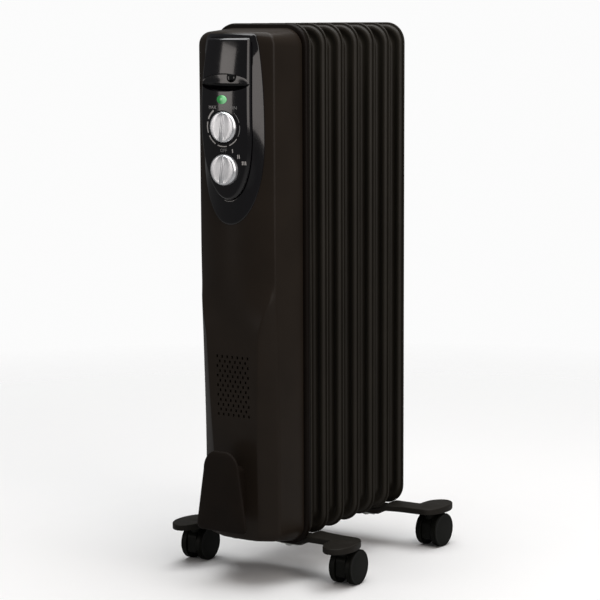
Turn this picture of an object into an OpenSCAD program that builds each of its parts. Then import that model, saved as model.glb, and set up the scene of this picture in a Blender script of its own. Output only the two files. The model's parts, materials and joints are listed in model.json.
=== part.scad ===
// Oil-filled column heater: seven pressed-steel fins on two oil galleries, a control housing
// on the front fin, and two clamped foot bars on twin-wheel casters.
//
// X runs across the fins, -Y is the control side, Z is up from the floor.
// The origin is on the floor under the middle of the whole heater.

/* [Radiator] */
// Width of a fin across its welded seam
fin_width = 113.2; // [108:0.2:120]
// Height of the fins' top edge above the floor
top_height = 580; // [560:1:600]
// Height of the fins' bottom edge above the floor
fin_foot = 42; // [42:0.5:44]
// Distance from one fin's seam to the next
fin_pitch = 32; // [30:0.5:36]
// Corner radius of a fin's outline
fin_corner = 22; // [20:0.5:26]
// Thickness of the welded seam flange
seam_t = 2.4; // [1.6:0.1:3]
// Radius of the rounded bead that runs round a fin
bead_r = 4.2; // [4:0.1:4.8]
// Distance from a fin's edge to the bead's centre line
bead_inset = 6.5; // [6:0.1:7]
// Thickness of a fin's raised centre panel
web_t = 10; // [8:0.5:11]
// Radius of the oil gallery through every fin
gallery_r = 13; // [11:0.5:14]

/* [Housing] */
// Depth of the frame between the front fin and the cover
frame_t = 7.5; // [6:0.5:9]
// Width of the cover's crisp front edge, side to side
cover_front_w = 92.6; // [88:0.2:96]
// Depth of that front edge in front of the first seam
cover_edge_y = 50.5; // [48:0.5:53]
// Depth of the crown of the cover in front of the first seam
cover_crown_y = 63.5; // [60:0.5:66]
// Wall thickness of the cover
wall = 2.2; // [1.8:0.1:2.6]

/* [Control panel] */
// Half width of the glossy surround at its widest
surround_half_w = 37.2; // [34:0.2:39]
// Half width of the inner fascia at its widest
fascia_half_w = 27.8; // [26:0.2:29]
// Height of the thermostat dial above the floor
dial_z = 477.2; // [470:0.5:484]
// Distance between the two dials
dial_gap = 43; // [38:0.5:46]
// Diameter of a knob
knob_d = 31.4; // [28:0.2:34]
// Diameter of a control shaft
shaft_d = 6; // [5:0.5:8]

/* [Vent grid] */
// Number of hole columns in a wide row
vent_cols = 7; // [5:1:7]
// Number of hole rows
vent_rows = 13; // [7:2:13]
// Distance between hole columns
vent_pitch_x = 6.27; // [6:0.01:7]
// Distance between hole rows
vent_pitch_z = 5.05; // [4.8:0.01:5.4]

/* [Cord wrap] */
// Depth of the wrap plate's crown in front of the first seam
wrap_crown_y = 89; // [86:0.5:92]
// Half width of the wrap plate at its foot
wrap_half_w = 30.4; // [28:0.2:33]

/* [Feet] */
// Half width of a foot bar between the fins
bar_half_w = 15.6; // [14:0.2:15.8]
// Distance of a caster's stem from the heater's middle plane
stem_x = 94.5; // [92:0.5:98]
// Distance of a stem outwards from its foot bar's centre line
stem_out = 12; // [10:0.5:14]
// Diameter of a caster wheel
wheel_d = 37.4; // [36:0.2:37.6]
// Overall width of a caster
caster_w = 27; // [25:0.5:28]
// Horizontal distance from a stem to its wheels' axle
trail = 7; // [6:0.5:9]
// Turn of the rear right caster from straight ahead, in degrees
rear_right_turn = -4; // [-30:1:30]

/* [Hidden] */
$fn = 64;
fins = 7;
caster_tags = ["fl", "fr", "rl", "rr"];

// Clearances
fit = 0.05;
slack = 0.3;

// Colours
body_dark = [0.10, 0.085, 0.075];
frame_dark = [0.085, 0.065, 0.055];
gloss_black = [0.03, 0.03, 0.035];
foot_dark = [0.09, 0.10, 0.095];
steel = [0.70, 0.71, 0.73];
zinc = [0.62, 0.63, 0.60];
silver = [0.78, 0.79, 0.80];
brass = [0.78, 0.63, 0.32];
ceramic = [0.90, 0.88, 0.83];
bakelite = [0.16, 0.13, 0.11];

// Fin stack
fin_h = top_height - fin_foot;
fin_mid_z = (top_height + fin_foot) / 2;
web_inset = 14.5;
web_r = web_t / 2;
oil_gap = 6.4;
hub_r = 24;
hub_t = 20;
hub_edge = 55;
hub_dz = fin_h / 2 - hub_edge;
collar_r = gallery_r + 2;
gap_t = fin_pitch - hub_t;
cap_t = 3;

// Heating element
element_len = (fins - 1) * fin_pitch - 12;
element_z = fin_mid_z - hub_dz;
rod_r = 3;
rod_ring = 7;

// Foot bars
bar_t = 6.5;
bar_top = fin_foot - 0.5;
bar_bottom = bar_top - bar_t;
bar_step = 4.5;
bar_taper_x = 44;
neck_half_w = 9.5;
neck_x = 80;
step_x = 38;
step_w = 12;
pad_rx = 16;
pad_ry = 25;
pad_out = 22;
pad_x = stem_x + 1;
pad_bottom = bar_bottom + bar_step;
pad_top = pad_bottom + bar_t;
pad_boss = 1.8;
clamp_r = 2.5;
clamp_x = collar_r + clamp_r + 0.5;
nut_t = 5;

// Where the seams stand along Y, so that the whole heater is centred on the origin
rear_reach = (fins - 1.5) * fin_pitch + pad_out + pad_ry;
first_y = (wrap_crown_y - rear_reach) / 2;
last_y = first_y + (fins - 1) * fin_pitch;
front_bar_y = first_y + fin_pitch / 2;
rear_bar_y = last_y - fin_pitch / 2;

// Casters
wheel_r = wheel_d / 2;
stem_r = 4;
plate_r = 10;
plate_t = 1.3;
plate_top = pad_bottom - slack;
stem_top = pad_top + pad_boss - 1.5;
hood_half_w = 6.6;
hood_foot = 7;
notch_w = 11;
notch_top = 14;
hood_r = wheel_r - 0.5;
wheel_gap = 0.4;
axle_r = 2.5;
wheel_skin = 1.2;
caster_x = [-stem_x, stem_x, -stem_x, stem_x];
caster_y = [front_bar_y - stem_out, front_bar_y - stem_out, rear_bar_y + stem_out, rear_bar_y + stem_out];
caster_turn = [0, 0, 0, rear_right_turn];

// Housing, as distances in front of the first seam
frame_gap = 0.5;
frame_front = frame_gap + frame_t;
frame_drop = 4.5;
frame_corner = 24;
frame_rim = 5;
frame_opening = 14;
frame_step = 3;
shield_t = 1;
shield_back = frame_gap + seam_t;
shield_front = shield_back + shield_t;
cover_rear_w = fin_width - 2 * frame_rim;
cover_top = top_height - frame_rim;
cover_bottom = fin_foot - 1;
cover_rear_corner = 20;
front_top = top_height - 8;
front_bottom = 48;
edge_half = cover_front_w / 2;
crown_drop = cover_crown_y - cover_edge_y;
crown_r = (edge_half * edge_half + crown_drop * crown_drop) / (2 * crown_drop);
edge_flat = 1.5;
recede_z = 290;
recede = 7;
foot_round = [3, 4, 14];
top_round = [5, 8];
vent_z = 211;
vent_hole = [2, 3];

// Screws from the back of the frame into bosses of the cover
screw_z = [70, 200, 420, 555];
screw_x = cover_rear_w / 2 - wall - 3.5;
screw_r = 1.4;
screw_head_r = 2.4;
screw_head_t = 2;
screw_len = 11;
screw_back = frame_gap + seam_t / 2 + 0.1;
boss_r = 4;
boss_h = 8;

// Control panel
switch_z = dial_z - dial_gap;
panel_top = 570;
surround_foot = 378;
surround_top_half = 30.5;
fascia_foot = 403;
fascia_top = 566;
fascia_top_half = 24.5;
fascia_y = 75;
fascia_edge_y = 66.4;
fascia_wall = 2.5;
bevel_w = 1.5;
surround_lip = 1;
crown_sag = 2.5;
scoop_depth = 9;
lens_z = 504;
scoop_z = 518;
knob_base_y = fascia_y - 4;
knob_front_y = fascia_y + 4;
knob_edge = 4.3;
knob_grip = 6;
well_y = knob_base_y - slack;
well_r = knob_d / 2 + 0.9;
bracket_y = 54;
bracket_t = 1.5;
panel_back = bracket_y + bracket_t;
control_front = bracket_y - bracket_t;
control_depth = 24;
shaft_r = shaft_d / 2;

// Cord wrap and gland
wrap_top = 147;
wrap_foot = 63;
wrap_foot_r = 6;
wrap_t = 3.5;
wrap_edge_y = 85.5;
shoulder_x = 10;
shoulder_rx = 12;
shoulder_ry = 14;
post_w = 22;
post_low = 76;
post_high = 128;
post_r = 6;
gland_x = -24;
gland_y = 18;
gland_bore_r = 3.8;
gland_r = 6.5;
gland_bottom = 39.8;
gland_h = 16;
gland_lip = 1.4;
gland_nut = 4;

function ellipse_arc(rx, ry, a0, a1, steps, cx = 0, cy = 0) =
    [for (k = [0:steps]) let (a = a0 + (a1 - a0) * k / steps) [cx + rx * cos(a), cy + ry * sin(a)]];

// How far the cover's crowned front falls back at the distance x from its middle
function arc_drop(x) = crown_r - sqrt(crown_r * crown_r - x * x);

function mirrored(points) = [for (k = [len(points) - 1:-1:0]) [-points[k][0], points[k][1]]];

module round_rect(w, h, r) {
    square([w - 2 * r, h], center = true);
    square([w, h - 2 * r], center = true);
    for (sx = [-1, 1], sy = [-1, 1])
        translate([sx * (w / 2 - r), sy * (h / 2 - r)])
            circle(r);
}

// A rounded slab in the XY plane, centred on it
module slab(w, h, r, t) {
    linear_extrude(height = t, center = true)
        round_rect(w, h, r);
}

// A round tube bent into a rounded rectangle in the XY plane
module tube_loop(w, h, r, tube) {
    for (s = [-1, 1]) {
        translate([s * w / 2, 0, 0])
            rotate([90, 0, 0])
                cylinder(r = tube, h = h - 2 * r, center = true);
        translate([0, s * h / 2, 0])
            rotate([0, 90, 0])
                cylinder(r = tube, h = w - 2 * r, center = true);
    }
    for (k = [0:3]) {
        cx = (k == 0 || k == 3 ? 1 : -1) * (w / 2 - r);
        cy = (k < 2 ? 1 : -1) * (h / 2 - r);
        translate([cx, cy, 0])
            rotate([0, 0, 90 * k])
                rotate_extrude(angle = 90)
                    translate([r, 0])
                        circle(tube);
    }
}

// Stands a shape drawn in the XY plane upright, d in front of the first seam, its +Z to the front
module upright(d, z) {
    translate([0, first_y - d, z])
        rotate([90, 0, 0])
            children();
}

// A drawn outline, X across and Y up from the floor, made solid between two depths
module face_block(d0, d1) {
    translate([0, first_y - d0, 0])
        rotate([90, 0, 0])
            linear_extrude(height = d1 - d0)
                children();
}

// A plan outline, X across and Y depth in front of the first seam, made solid between two heights
module plan_block(z0, z1) {
    translate([0, first_y, z0])
        mirror([0, 1, 0])
            linear_extrude(height = z1 - z0)
                children();
}

// A side outline, X depth in front of the first seam and Y up, made solid across a width
module side_block(w) {
    translate([-w / 2, first_y, 0])
        rotate([90, 0, 90])
            mirror([1, 0, 0])
                linear_extrude(height = w)
                    children();
}

// ---- Fins and oil galleries ----

module fin_body(flat_front) {
    difference() {
        union() {
            slab(fin_width, fin_h, fin_corner, seam_t);
            tube_loop(fin_width - 2 * bead_inset, fin_h - 2 * bead_inset, fin_corner - bead_inset, bead_r);
            slab(fin_width - 2 * (web_inset + web_r), fin_h - 2 * (web_inset + web_r), web_r, web_t);
            tube_loop(
                fin_width - 2 * (web_inset + web_r), fin_h - 2 * (web_inset + web_r), web_r + 1, web_r
            );
            for (s = [-1, 1])
                translate([0, s * hub_dz, 0])
                    cylinder(r = hub_r, h = hub_t, center = true);
        }
        slab(fin_width - 2 * (web_inset + web_t), fin_h - 2 * (web_inset + web_t), web_r, oil_gap);
        for (s = [-1, 1])
            translate([0, s * hub_dz, 0])
                cylinder(r = gallery_r, h = hub_t + 2, center = true);
        if (flat_front)
            translate([-fin_width, -fin_h, seam_t / 2])
                cube([2 * fin_width, 2 * fin_h, hub_t]);
    }
}

module fin(i) {
    color(body_dark)
        translate([0, (i - 1) * fin_pitch, 0])
            upright(0, fin_mid_z)
                fin_body(i == 1);
}

module collars(s) {
    color(body_dark)
        for (i = [1:fins - 1])
            translate([0, (i - 0.5) * fin_pitch, 0])
                upright(0, fin_mid_z + s * hub_dz)
                    difference() {
                        cylinder(r = collar_r, h = gap_t, center = true);
                        cylinder(r = gallery_r, h = gap_t + 2, center = true);
                    }
}

module rear_end_caps() {
    color(body_dark)
        for (s = [-1, 1])
            translate([0, (fins - 1) * fin_pitch + hub_t / 2 + cap_t, 0])
                upright(0, fin_mid_z + s * hub_dz) {
                    cylinder(r = gallery_r + 4, h = cap_t);
                    translate([0, 0, cap_t])
                        cylinder(r = gallery_r - fit, h = 4);
                }
}

module filler_plug() {
    color(zinc)
        upright(seam_t / 2, fin_mid_z + hub_dz) {
            cylinder(r = gallery_r + 3, h = 2);
            cylinder(r = 4, h = 12);
            translate([0, 0, -5])
                cylinder(r = gallery_r - fit, h = 5);
        }
}

// ---- Heating element ----

module heating_element() {
    color(steel)
        for (k = [0:1])
            about_gallery(k * 90)
                hairpin();
}

// Stands a shape in the lower gallery, turned about the gallery's axis
module about_gallery(a) {
    upright(0, element_z)
        rotate([0, 0, a + 45])
            children();
}

// One sheathed rod, out along the gallery and back
module hairpin() {
    for (s = [-1, 1])
        translate([s * rod_ring, 0, -element_len])
            cylinder(r = rod_r, h = element_len + seam_t);
    translate([0, 0, -element_len])
        rotate([90, 0, 0])
            rotate_extrude(angle = -180)
                translate([rod_ring, 0])
                    circle(rod_r);
}

module element_flange() {
    color(brass)
        upright(seam_t / 2, element_z)
            difference() {
                union() {
                    translate([0, 0, -4])
                        cylinder(r = gallery_r - fit, h = 5);
                    cylinder(r = 21, h = 3);
                    translate([0, 0, 3])
                        cylinder(r = 17, h = 5, $fn = 6);
                }
                for (a = [45:90:315])
                    rotate([0, 0, a])
                        translate([rod_ring, 0, -5])
                            cylinder(r = rod_r, h = 20);
            }
}

module element_terminals() {
    flange_front = seam_t / 2 + 8;
    for (a = [45:90:315])
        upright(seam_t, element_z)
            rotate([0, 0, a])
                translate([rod_ring, 0, 0]) {
                    color(steel)
                        cylinder(r = rod_r, h = flange_front - seam_t + 1);
                    color(ceramic)
                        translate([0, 0, flange_front - seam_t + 1])
                            cylinder(r = 3.6, h = 4);
                    color(brass)
                        translate([0, 0, flange_front - seam_t + 5])
                            cylinder(r = 1.6, h = 9);
                }
}

module thermal_cutout() {
    body_h = 9;
    cutout_x = 26;
    cutout_z = 250;
    color(bakelite)
        upright(shield_front, cutout_z)
            translate([cutout_x, 0, 0]) {
                cylinder(r = 8, h = body_h - 3);
                cylinder(r = 5.5, h = body_h);
            }
    color(brass)
        upright(shield_front + body_h, cutout_z)
            for (s = [-1, 1])
                translate([cutout_x + s * 3, 0, 1.5])
                    cube([3, 6, 3], center = true);
}

// ---- Housing ----

module heat_shield() {
    color(steel)
        difference() {
            face_block(shield_back, shield_front)
                frame_outline(frame_opening + slack);
            for (s = [-1, 1])
                upright(0, fin_mid_z + s * hub_dz)
                    cylinder(r = hub_r, h = frame_front);
        }
}

module frame_outline(inset) {
    translate([0, (top_height + fin_foot - frame_drop) / 2])
        round_rect(fin_width - 2 * inset, fin_h + frame_drop - 2 * inset, frame_corner - inset);
}

module housing_frame() {
    color(frame_dark)
        difference() {
            union() {
                face_block(frame_gap + seam_t / 2, frame_front - frame_step)
                    frame_outline(0);
                face_block(frame_front - frame_step, frame_front)
                    frame_outline(frame_step);
            }
            face_block(0, frame_front + 1)
                frame_outline(frame_opening);
            at_screws(0)
                cylinder(r = screw_r + fit, h = frame_front + 1);
            at_screws(0)
                cylinder(r = screw_head_r + slack, h = screw_back + screw_head_t);
        }
}

// The cover's outer form, shrunk by g on every side and reaching back to the depth rear
module cover_form(g, rear = frame_front) {
    intersection() {
        plan_block(0, top_height)
            cover_plan(g, rear);
        face_block(rear, cover_crown_y)
            translate([0, (cover_top + cover_bottom) / 2])
                round_rect(cover_rear_w - 2 * g, cover_top - cover_bottom - 2 * g, cover_rear_corner - g);
        side_block(fin_width)
            cover_side(g, rear);
    }
}

module cover_plan(g, rear) {
    half = asin(edge_half / crown_r);
    crown = [
        for (k = [-12:12]) let (a = half * k / 12)
            [(crown_r - g) * sin(a), cover_crown_y - crown_r + (crown_r - g) * cos(a)]
    ];
    side_y = cover_edge_y - edge_flat - g;
    polygon([
        [-cover_rear_w / 2 + g, rear],
        [-edge_half + g, side_y],
        each crown,
        [edge_half - g, side_y],
        [cover_rear_w / 2 - g, rear],
    ]);
}

module cover_side(g, rear) {
    polygon([
        [rear, cover_bottom + g],
        [cover_edge_y, front_bottom + g],
        [cover_crown_y - recede - foot_round[0] - g, front_bottom + foot_round[1]],
        [cover_crown_y - recede - g, front_bottom + foot_round[2]],
        [cover_crown_y - g, recede_z],
        [cover_crown_y - g, front_top - top_round[1]],
        [cover_crown_y - top_round[0] - g, front_top - g],
        [rear, cover_top - g],
    ]);
}

module front_cover() {
    color(body_dark)
        difference() {
            union() {
                difference() {
                    cover_form(0);
                    cover_form(wall, frame_front - 1);
                }
                at_screws(frame_front)
                    cylinder(r = boss_r, h = boss_h);
            }
            at_screws(frame_front - 1)
                cylinder(r = screw_r + fit, h = boss_h - 1);
            face_block(cover_edge_y - 6, cover_crown_y + 1)
                fascia_outline(-slack);
            vent_holes();
            translate([gland_x, first_y - gland_y, gland_bottom])
                cylinder(r = gland_r, h = gland_h + 4);
        }
}

module at_screws(d) {
    for (z = screw_z, s = [-1, 1])
        translate([s * screw_x, 0, 0])
            upright(d, z)
                children();
}

// Staggered rows of upright slots: wide rows alternate with rows one hole shorter
module vent_holes() {
    face_block(cover_edge_y - 4, cover_crown_y + 1)
        for (row = [0:vent_rows - 1]) {
            cols = vent_cols - row % 2;
            for (col = [0:cols - 1])
                translate([
                    (col - (cols - 1) / 2) * vent_pitch_x,
                    vent_z + ((vent_rows - 1) / 2 - row) * vent_pitch_z,
                ])
                    square(vent_hole, center = true);
        }
}

module cover_screws() {
    color(zinc)
        at_screws(screw_back) {
            cylinder(r = screw_head_r, h = screw_head_t);
            cylinder(r = screw_r, h = screw_len);
        }
}

// ---- Control panel ----

// A shield outline: slightly flared sides over a half-elliptic foot, shrunk by inset
module shield_outline(half_w, top_half, z_top, z_foot, inset) {
    z_wide = z_top - 0.55 * (z_top - z_foot);
    steps = 16;
    flare = [
        for (k = [0:7]) let (t = k / 8)
            [top_half - inset + (half_w - top_half) * sin(90 * t), z_top - inset + (z_wide - z_top) * t]
    ];
    foot_end = -90 * (steps - 1) / steps;
    foot = ellipse_arc(half_w - inset, z_wide - z_foot - inset, 0, foot_end, steps - 1, 0, z_wide);
    right = [each flare, each foot];
    polygon([each right, [0, z_foot + inset], each mirrored(right)]);
}

module surround_outline(inset) {
    shield_outline(surround_half_w, surround_top_half, panel_top, surround_foot, inset);
}

module fascia_outline(inset) {
    shield_outline(fascia_half_w, fascia_top_half, fascia_top, fascia_foot, inset);
}

module panel_surround() {
    ridge_x = fascia_half_w + 0.6;
    lip_y = cover_crown_y - arc_drop(surround_half_w) + surround_lip;
    color(gloss_black)
        difference() {
            intersection() {
                face_block(cover_edge_y, fascia_edge_y + 4)
                    surround_outline(0);
                plan_block(0, top_height)
                    polygon([
                        [-surround_half_w, 0],
                        [-surround_half_w, lip_y],
                        [-ridge_x, fascia_edge_y],
                        [ridge_x, fascia_edge_y],
                        [surround_half_w, lip_y],
                        [surround_half_w, 0],
                    ]);
                side_block(fin_width)
                    polygon([
                        [0, surround_foot],
                        [cover_crown_y + surround_lip, surround_foot],
                        [fascia_edge_y, fascia_foot - 1],
                        [fascia_edge_y, fascia_top - 2],
                        [cover_crown_y, panel_top],
                        [0, panel_top],
                    ]);
            }
            cover_form(-0.1);
            face_block(cover_edge_y - 1, fascia_y)
                fascia_outline(-slack);
        }
}

// The fascia's outer form: a gentle crown between bevelled edges
module fascia_form() {
    face_x = fascia_half_w - bevel_w;
    corner_y = fascia_y - crown_sag;
    rim_x = fascia_half_w + 1;
    rim_y = fascia_edge_y - (corner_y - fascia_edge_y) / bevel_w;
    crown = [for (k = [-4:4]) [face_x * k / 5, fascia_y - crown_sag * pow(k / 5, 2)]];
    intersection() {
        face_block(panel_back, fascia_y + 1)
            fascia_outline(0);
        plan_block(0, top_height)
            polygon([
                [-rim_x, 0],
                [-rim_x, rim_y],
                [-face_x, corner_y],
                each crown,
                [face_x, corner_y],
                [rim_x, rim_y],
                [rim_x, 0],
            ]);
        side_block(fin_width)
            polygon([
                [0, fascia_foot - 1],
                [fascia_y - 7, fascia_foot - 1],
                [fascia_y - 3.2, switch_z - 4],
                [fascia_y - 0.8, dial_z - 22],
                [fascia_y + 0.5, dial_z],
                [fascia_y + 0.5, lens_z],
                [fascia_y - 2.5, scoop_z + 16],
                [fascia_edge_y, fascia_top + 1],
                [0, fascia_top + 1],
            ]);
    }
}

module fascia() {
    color(gloss_black)
        difference() {
            fascia_form();
            face_block(panel_back - 1, fascia_y - scoop_depth - fascia_wall)
                fascia_outline(fascia_wall);
            face_block(panel_back - 1, well_y - fascia_wall)
                translate([0, (dial_z + switch_z) / 2])
                    round_rect(knob_d, dial_gap + knob_d / 2, 6);
            scoop();
            face_block(0, fascia_y + 1)
                translate([0, lens_z])
                    lens_outline(0.1);
            for (z = [dial_z, switch_z]) {
                upright(panel_back, z)
                    cylinder(r = shaft_r + 2, h = fascia_y - panel_back);
                upright(well_y, z)
                    cylinder(r = well_r, h = 10);
            }
        }
}

// The finger scoop above the indicator: where two wide circles overlap
module scoop() {
    face_block(fascia_y - scoop_depth, fascia_y + 1)
        translate([0, scoop_z])
            intersection() {
                translate([0, -22])
                    circle(32);
                translate([0, 30])
                    circle(38);
            }
}

module lens_outline(grow) {
    for (s = [-1, 1])
        translate([s * 1.5, 0])
            circle(4.8 + grow);
    square([3, 9.6 + 2 * grow], center = true);
}

module indicator_lens() {
    color([0.35, 0.85, 0.45])
        upright(fascia_y - 5, lens_z) {
            linear_extrude(height = 6)
                lens_outline(0);
            translate([0, 0, 6])
                cylinder(r1 = 4.6, r2 = 2.5, h = 1.5);
        }
}

module indicator_lamp() {
    color([0.95, 0.8, 0.6])
        upright(bracket_y, lens_z) {
            cylinder(r = 3, h = 10);
            translate([0, 0, 10])
                sphere(3);
        }
}

// A knob: a round skirt, a bevelled face and a grip bar across it
module knob_blank() {
    knob_h = knob_front_y - knob_base_y;
    difference() {
        union() {
            cylinder(r = knob_d / 2, h = knob_edge);
            translate([0, 0, knob_edge])
                cylinder(r1 = knob_d / 2, r2 = knob_d / 2 - 1.8, h = 2.2);
            intersection() {
                cylinder(r = knob_d / 2 - 1.5, h = knob_h);
                translate([0, 0, knob_h / 2])
                    cube([knob_grip, knob_d, knob_h], center = true);
            }
        }
        translate([0, 0, -1])
            cylinder(r = shaft_r, h = knob_h - 1);
    }
}

module thermostat_knob() {
    color(silver)
        upright(knob_base_y, dial_z)
            knob_blank();
}

module power_knob() {
    color(silver)
        upright(knob_base_y, switch_z)
            knob_blank();
}

module control_shaft(z) {
    color(steel)
        upright(control_front - 8, z)
            cylinder(r = shaft_r, h = knob_front_y - control_front + 8 - 2);
}

module thermostat_shaft() {
    control_shaft(dial_z);
}

module switch_shaft() {
    control_shaft(switch_z);
}

// A control body behind the bracket with a threaded bush through it
module control_body(w, h, z) {
    upright(control_front, z)
        difference() {
            union() {
                translate([-w / 2, -h / 2, -control_depth])
                    cube([w, h, control_depth]);
                cylinder(r = shaft_r + 1.6, h = 7);
            }
            translate([0, 0, -9])
                cylinder(r = shaft_r + fit, h = 20);
        }
}

module thermostat_body() {
    color(ceramic)
        control_body(30, 34, dial_z);
    color(steel)
        upright(control_front - control_depth, dial_z)
            translate([0, 0, -3])
                cylinder(r = 10, h = 3);
}

module switch_body() {
    color(bakelite)
        control_body(32, 32, switch_z);
    color(brass)
        for (s = [-1, 1], t = [-1, 1])
            upright(control_front - control_depth, switch_z)
                translate([s * 9, t * 9, -3.5])
                    cube([5, 0.8, 7], center = true);
}

module shaft_nuts() {
    color(zinc)
        for (z = [dial_z, switch_z])
            upright(bracket_y + slack / 3, z)
                difference() {
                    cylinder(r = 7, h = 2.5, $fn = 6);
                    translate([0, 0, -1])
                        cylinder(r = shaft_r + 1.6, h = 5);
                }
}

// A plate behind the fascia, with a tab at each side that runs back to the heat shield
module control_bracket() {
    bracket_w = 60;
    bracket_low = switch_z - 24;
    bracket_high = lens_z + 12;
    color(steel)
        difference() {
            union() {
                face_block(control_front, bracket_y)
                    translate([-bracket_w / 2, bracket_low])
                        square([bracket_w, bracket_high - bracket_low]);
                for (s = [-1, 1])
                    face_block(shield_front, bracket_y)
                        translate([s * (bracket_w + bracket_t) / 2, (bracket_low + bracket_high) / 2])
                            square([bracket_t, bracket_high - bracket_low], center = true);
            }
            for (z = [dial_z, switch_z])
                upright(0, z)
                    cylinder(r = shaft_r + 1.7, h = 80);
            upright(0, lens_z)
                cylinder(r = 2.9, h = 80);
        }
}

// ---- Wiring ----

module terminal_block() {
    block_z = 160;
    color(ceramic)
        upright(shield_front + 6, block_z)
            difference() {
                translate([-18, -8, -6])
                    cube([36, 16, 14]);
                for (k = [-1:1])
                    translate([k * 11, 0, 0])
                        cylinder(r = 3, h = 12);
            }
    color(brass)
        upright(shield_front + 7, block_z)
            for (k = [-1:1])
                translate([k * 11, 0, 0])
                    cylinder(r = 2.8, h = 4);
}

// Straight insulated leads between the controls, the terminal block and the element
module wiring() {
    lead_r = 1.3;
    for (k = [-1:1])
        color(k == 0 ? [0.7, 0.6, 0.1] : k < 0 ? [0.15, 0.25, 0.55] : [0.45, 0.25, 0.12])
            translate([k * 11, first_y - shield_front - 9, 170])
                cylinder(r = lead_r, h = switch_z - 190);
    color([0.45, 0.25, 0.12])
        for (s = [-1, 1])
            translate([s * 8, first_y - shield_front - 16, element_z + 24])
                cylinder(r = lead_r, h = 25);
}

// ---- Cord wrap and cord inlet ----

// The wrap plate's outline: a tall trapezoid with round shoulders and a wide foot
module wrap_outline(inset) {
    foot_x = wrap_half_w - wrap_foot_r - inset;
    foot_z = wrap_foot + wrap_foot_r + inset;
    shoulder_z = wrap_top - shoulder_ry;
    right = [
        each ellipse_arc(shoulder_rx - inset, shoulder_ry - inset, 90, 0, 8, shoulder_x, shoulder_z),
        each ellipse_arc(wrap_foot_r, wrap_foot_r, 0, -90, 6, foot_x, foot_z),
    ];
    polygon([each right, each mirrored(right)]);
}

module cord_wrap() {
    color(frame_dark)
        difference() {
            union() {
                face_block(wrap_edge_y - wrap_t, wrap_edge_y)
                    wrap_outline(0);
                face_block(wrap_edge_y, wrap_crown_y - 1.5)
                    wrap_outline(5);
                face_block(wrap_crown_y - 1.5, wrap_crown_y)
                    wrap_outline(10);
                face_block(cover_edge_y, wrap_edge_y)
                    translate([0, (post_low + post_high) / 2])
                        round_rect(post_w, post_high - post_low, post_r);
            }
            cover_form(-0.1);
        }
}

module cord_gland() {
    color(foot_dark)
        translate([gland_x, first_y - gland_y, gland_bottom])
            difference() {
                union() {
                    cylinder(r = gland_r - fit, h = gland_h);
                    cylinder(r = gland_r + 1.5, h = gland_lip);
                    translate([0, 0, gland_h - gland_nut])
                        cylinder(r = gland_r + 2, h = gland_nut);
                }
                translate([0, 0, -1])
                    cylinder(r = gland_bore_r, h = gland_h + 2);
            }
}

// ---- Foot bars ----

// Half of a foot bar seen from above: a straight middle, a neck and an oval pad swept outwards
module bar_plan() {
    for (s = [-1, 1])
        scale([s, 1])
            polygon([
                [-1, -bar_half_w],
                [neck_x - 4, -bar_half_w],
                each ellipse_arc(pad_rx, pad_ry, 165, 355, 24, pad_x, -pad_out),
                each ellipse_arc(pad_rx, pad_out + neck_half_w - 0.5, 0, 80, 10, pad_x, -pad_out),
                [neck_x, neck_half_w],
                [neck_x - 14, neck_half_w + 1],
                [bar_taper_x + 12, bar_half_w - 2.6],
                [bar_taper_x, bar_half_w],
                [-1, bar_half_w],
            ]);
}

// Side view of the bar, X across: low in the middle, stepped up to the pads
module bar_profile() {
    tip = pad_x + pad_rx + 1;
    right = [
        [0, bar_bottom],
        [step_x + 2, bar_bottom],
        [step_x + 2 + step_w, pad_bottom],
        [tip, pad_bottom],
        [tip, pad_top],
        [step_x + step_w, pad_top],
        [step_x, bar_top],
        [0, bar_top],
    ];
    polygon(right);
    polygon([for (p = right) [-p[0], p[1]]]);
}

// A foot bar whose pads sweep towards -Y
module foot_bar() {
    difference() {
        union() {
            intersection() {
                linear_extrude(height = top_height)
                    bar_plan();
                rotate([90, 0, 0])
                    linear_extrude(height = 200, center = true)
                        bar_profile();
            }
            for (s = [-1, 1])
                translate([s * stem_x, -stem_out, pad_top - 0.01])
                    cylinder(r1 = 11, r2 = 8, h = pad_boss);
        }
        for (s = [-1, 1]) {
            translate([s * stem_x, -stem_out, pad_bottom - 1])
                cylinder(r = stem_r + fit, h = stem_top - pad_bottom + 1.4);
            translate([s * clamp_x, 0, 0])
                cylinder(r = clamp_r + 0.3, h = top_height);
        }
    }
}

module front_foot_bar() {
    color(foot_dark)
        translate([0, front_bar_y, 0])
            foot_bar();
}

module rear_foot_bar() {
    color(foot_dark)
        translate([0, rear_bar_y, 0])
            mirror([0, 1, 0])
                foot_bar();
}

// A U-bolt over the lower gallery collar, its legs down through the foot bar
module clamp(y) {
    leg_low = bar_bottom - nut_t - 1;
    color(zinc)
        translate([0, y, 0]) {
            for (s = [-1, 1])
                translate([s * clamp_x, 0, leg_low])
                    cylinder(r = clamp_r, h = element_z - leg_low);
            translate([0, 0, element_z])
                rotate([90, 0, 0])
                    rotate_extrude(angle = 180)
                        translate([clamp_x, 0])
                            circle(clamp_r);
        }
}

module wing_nuts(y) {
    nut_low = bar_bottom - nut_t;
    color(zinc)
        for (s = [-1, 1])
            translate([s * clamp_x, y, nut_low])
                difference() {
                    union() {
                        cylinder(r = 4.5, h = nut_t);
                        for (t = [-1, 1])
                            translate([t * 7, 0, 1])
                                rotate([90, 0, 0])
                                    cylinder(r = 4, h = 1.6, center = true);
                    }
                    translate([0, 0, -5])
                        cylinder(r = clamp_r, h = 20);
                    translate([-20, -20, -20])
                        cube([40, 40, 20]);
                }
}

// ---- Casters ----

// Places a caster's parts: stem axis at the origin, the axle behind it along +Y
module at_caster(k) {
    translate([caster_x[k], caster_y[k], 0])
        rotate([0, 0, caster_turn[k]])
            children();
}

module along_x(r, x0, x1) {
    translate([x0, 0, 0])
        rotate([0, 90, 0])
            cylinder(r = r, h = x1 - x0);
}

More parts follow.
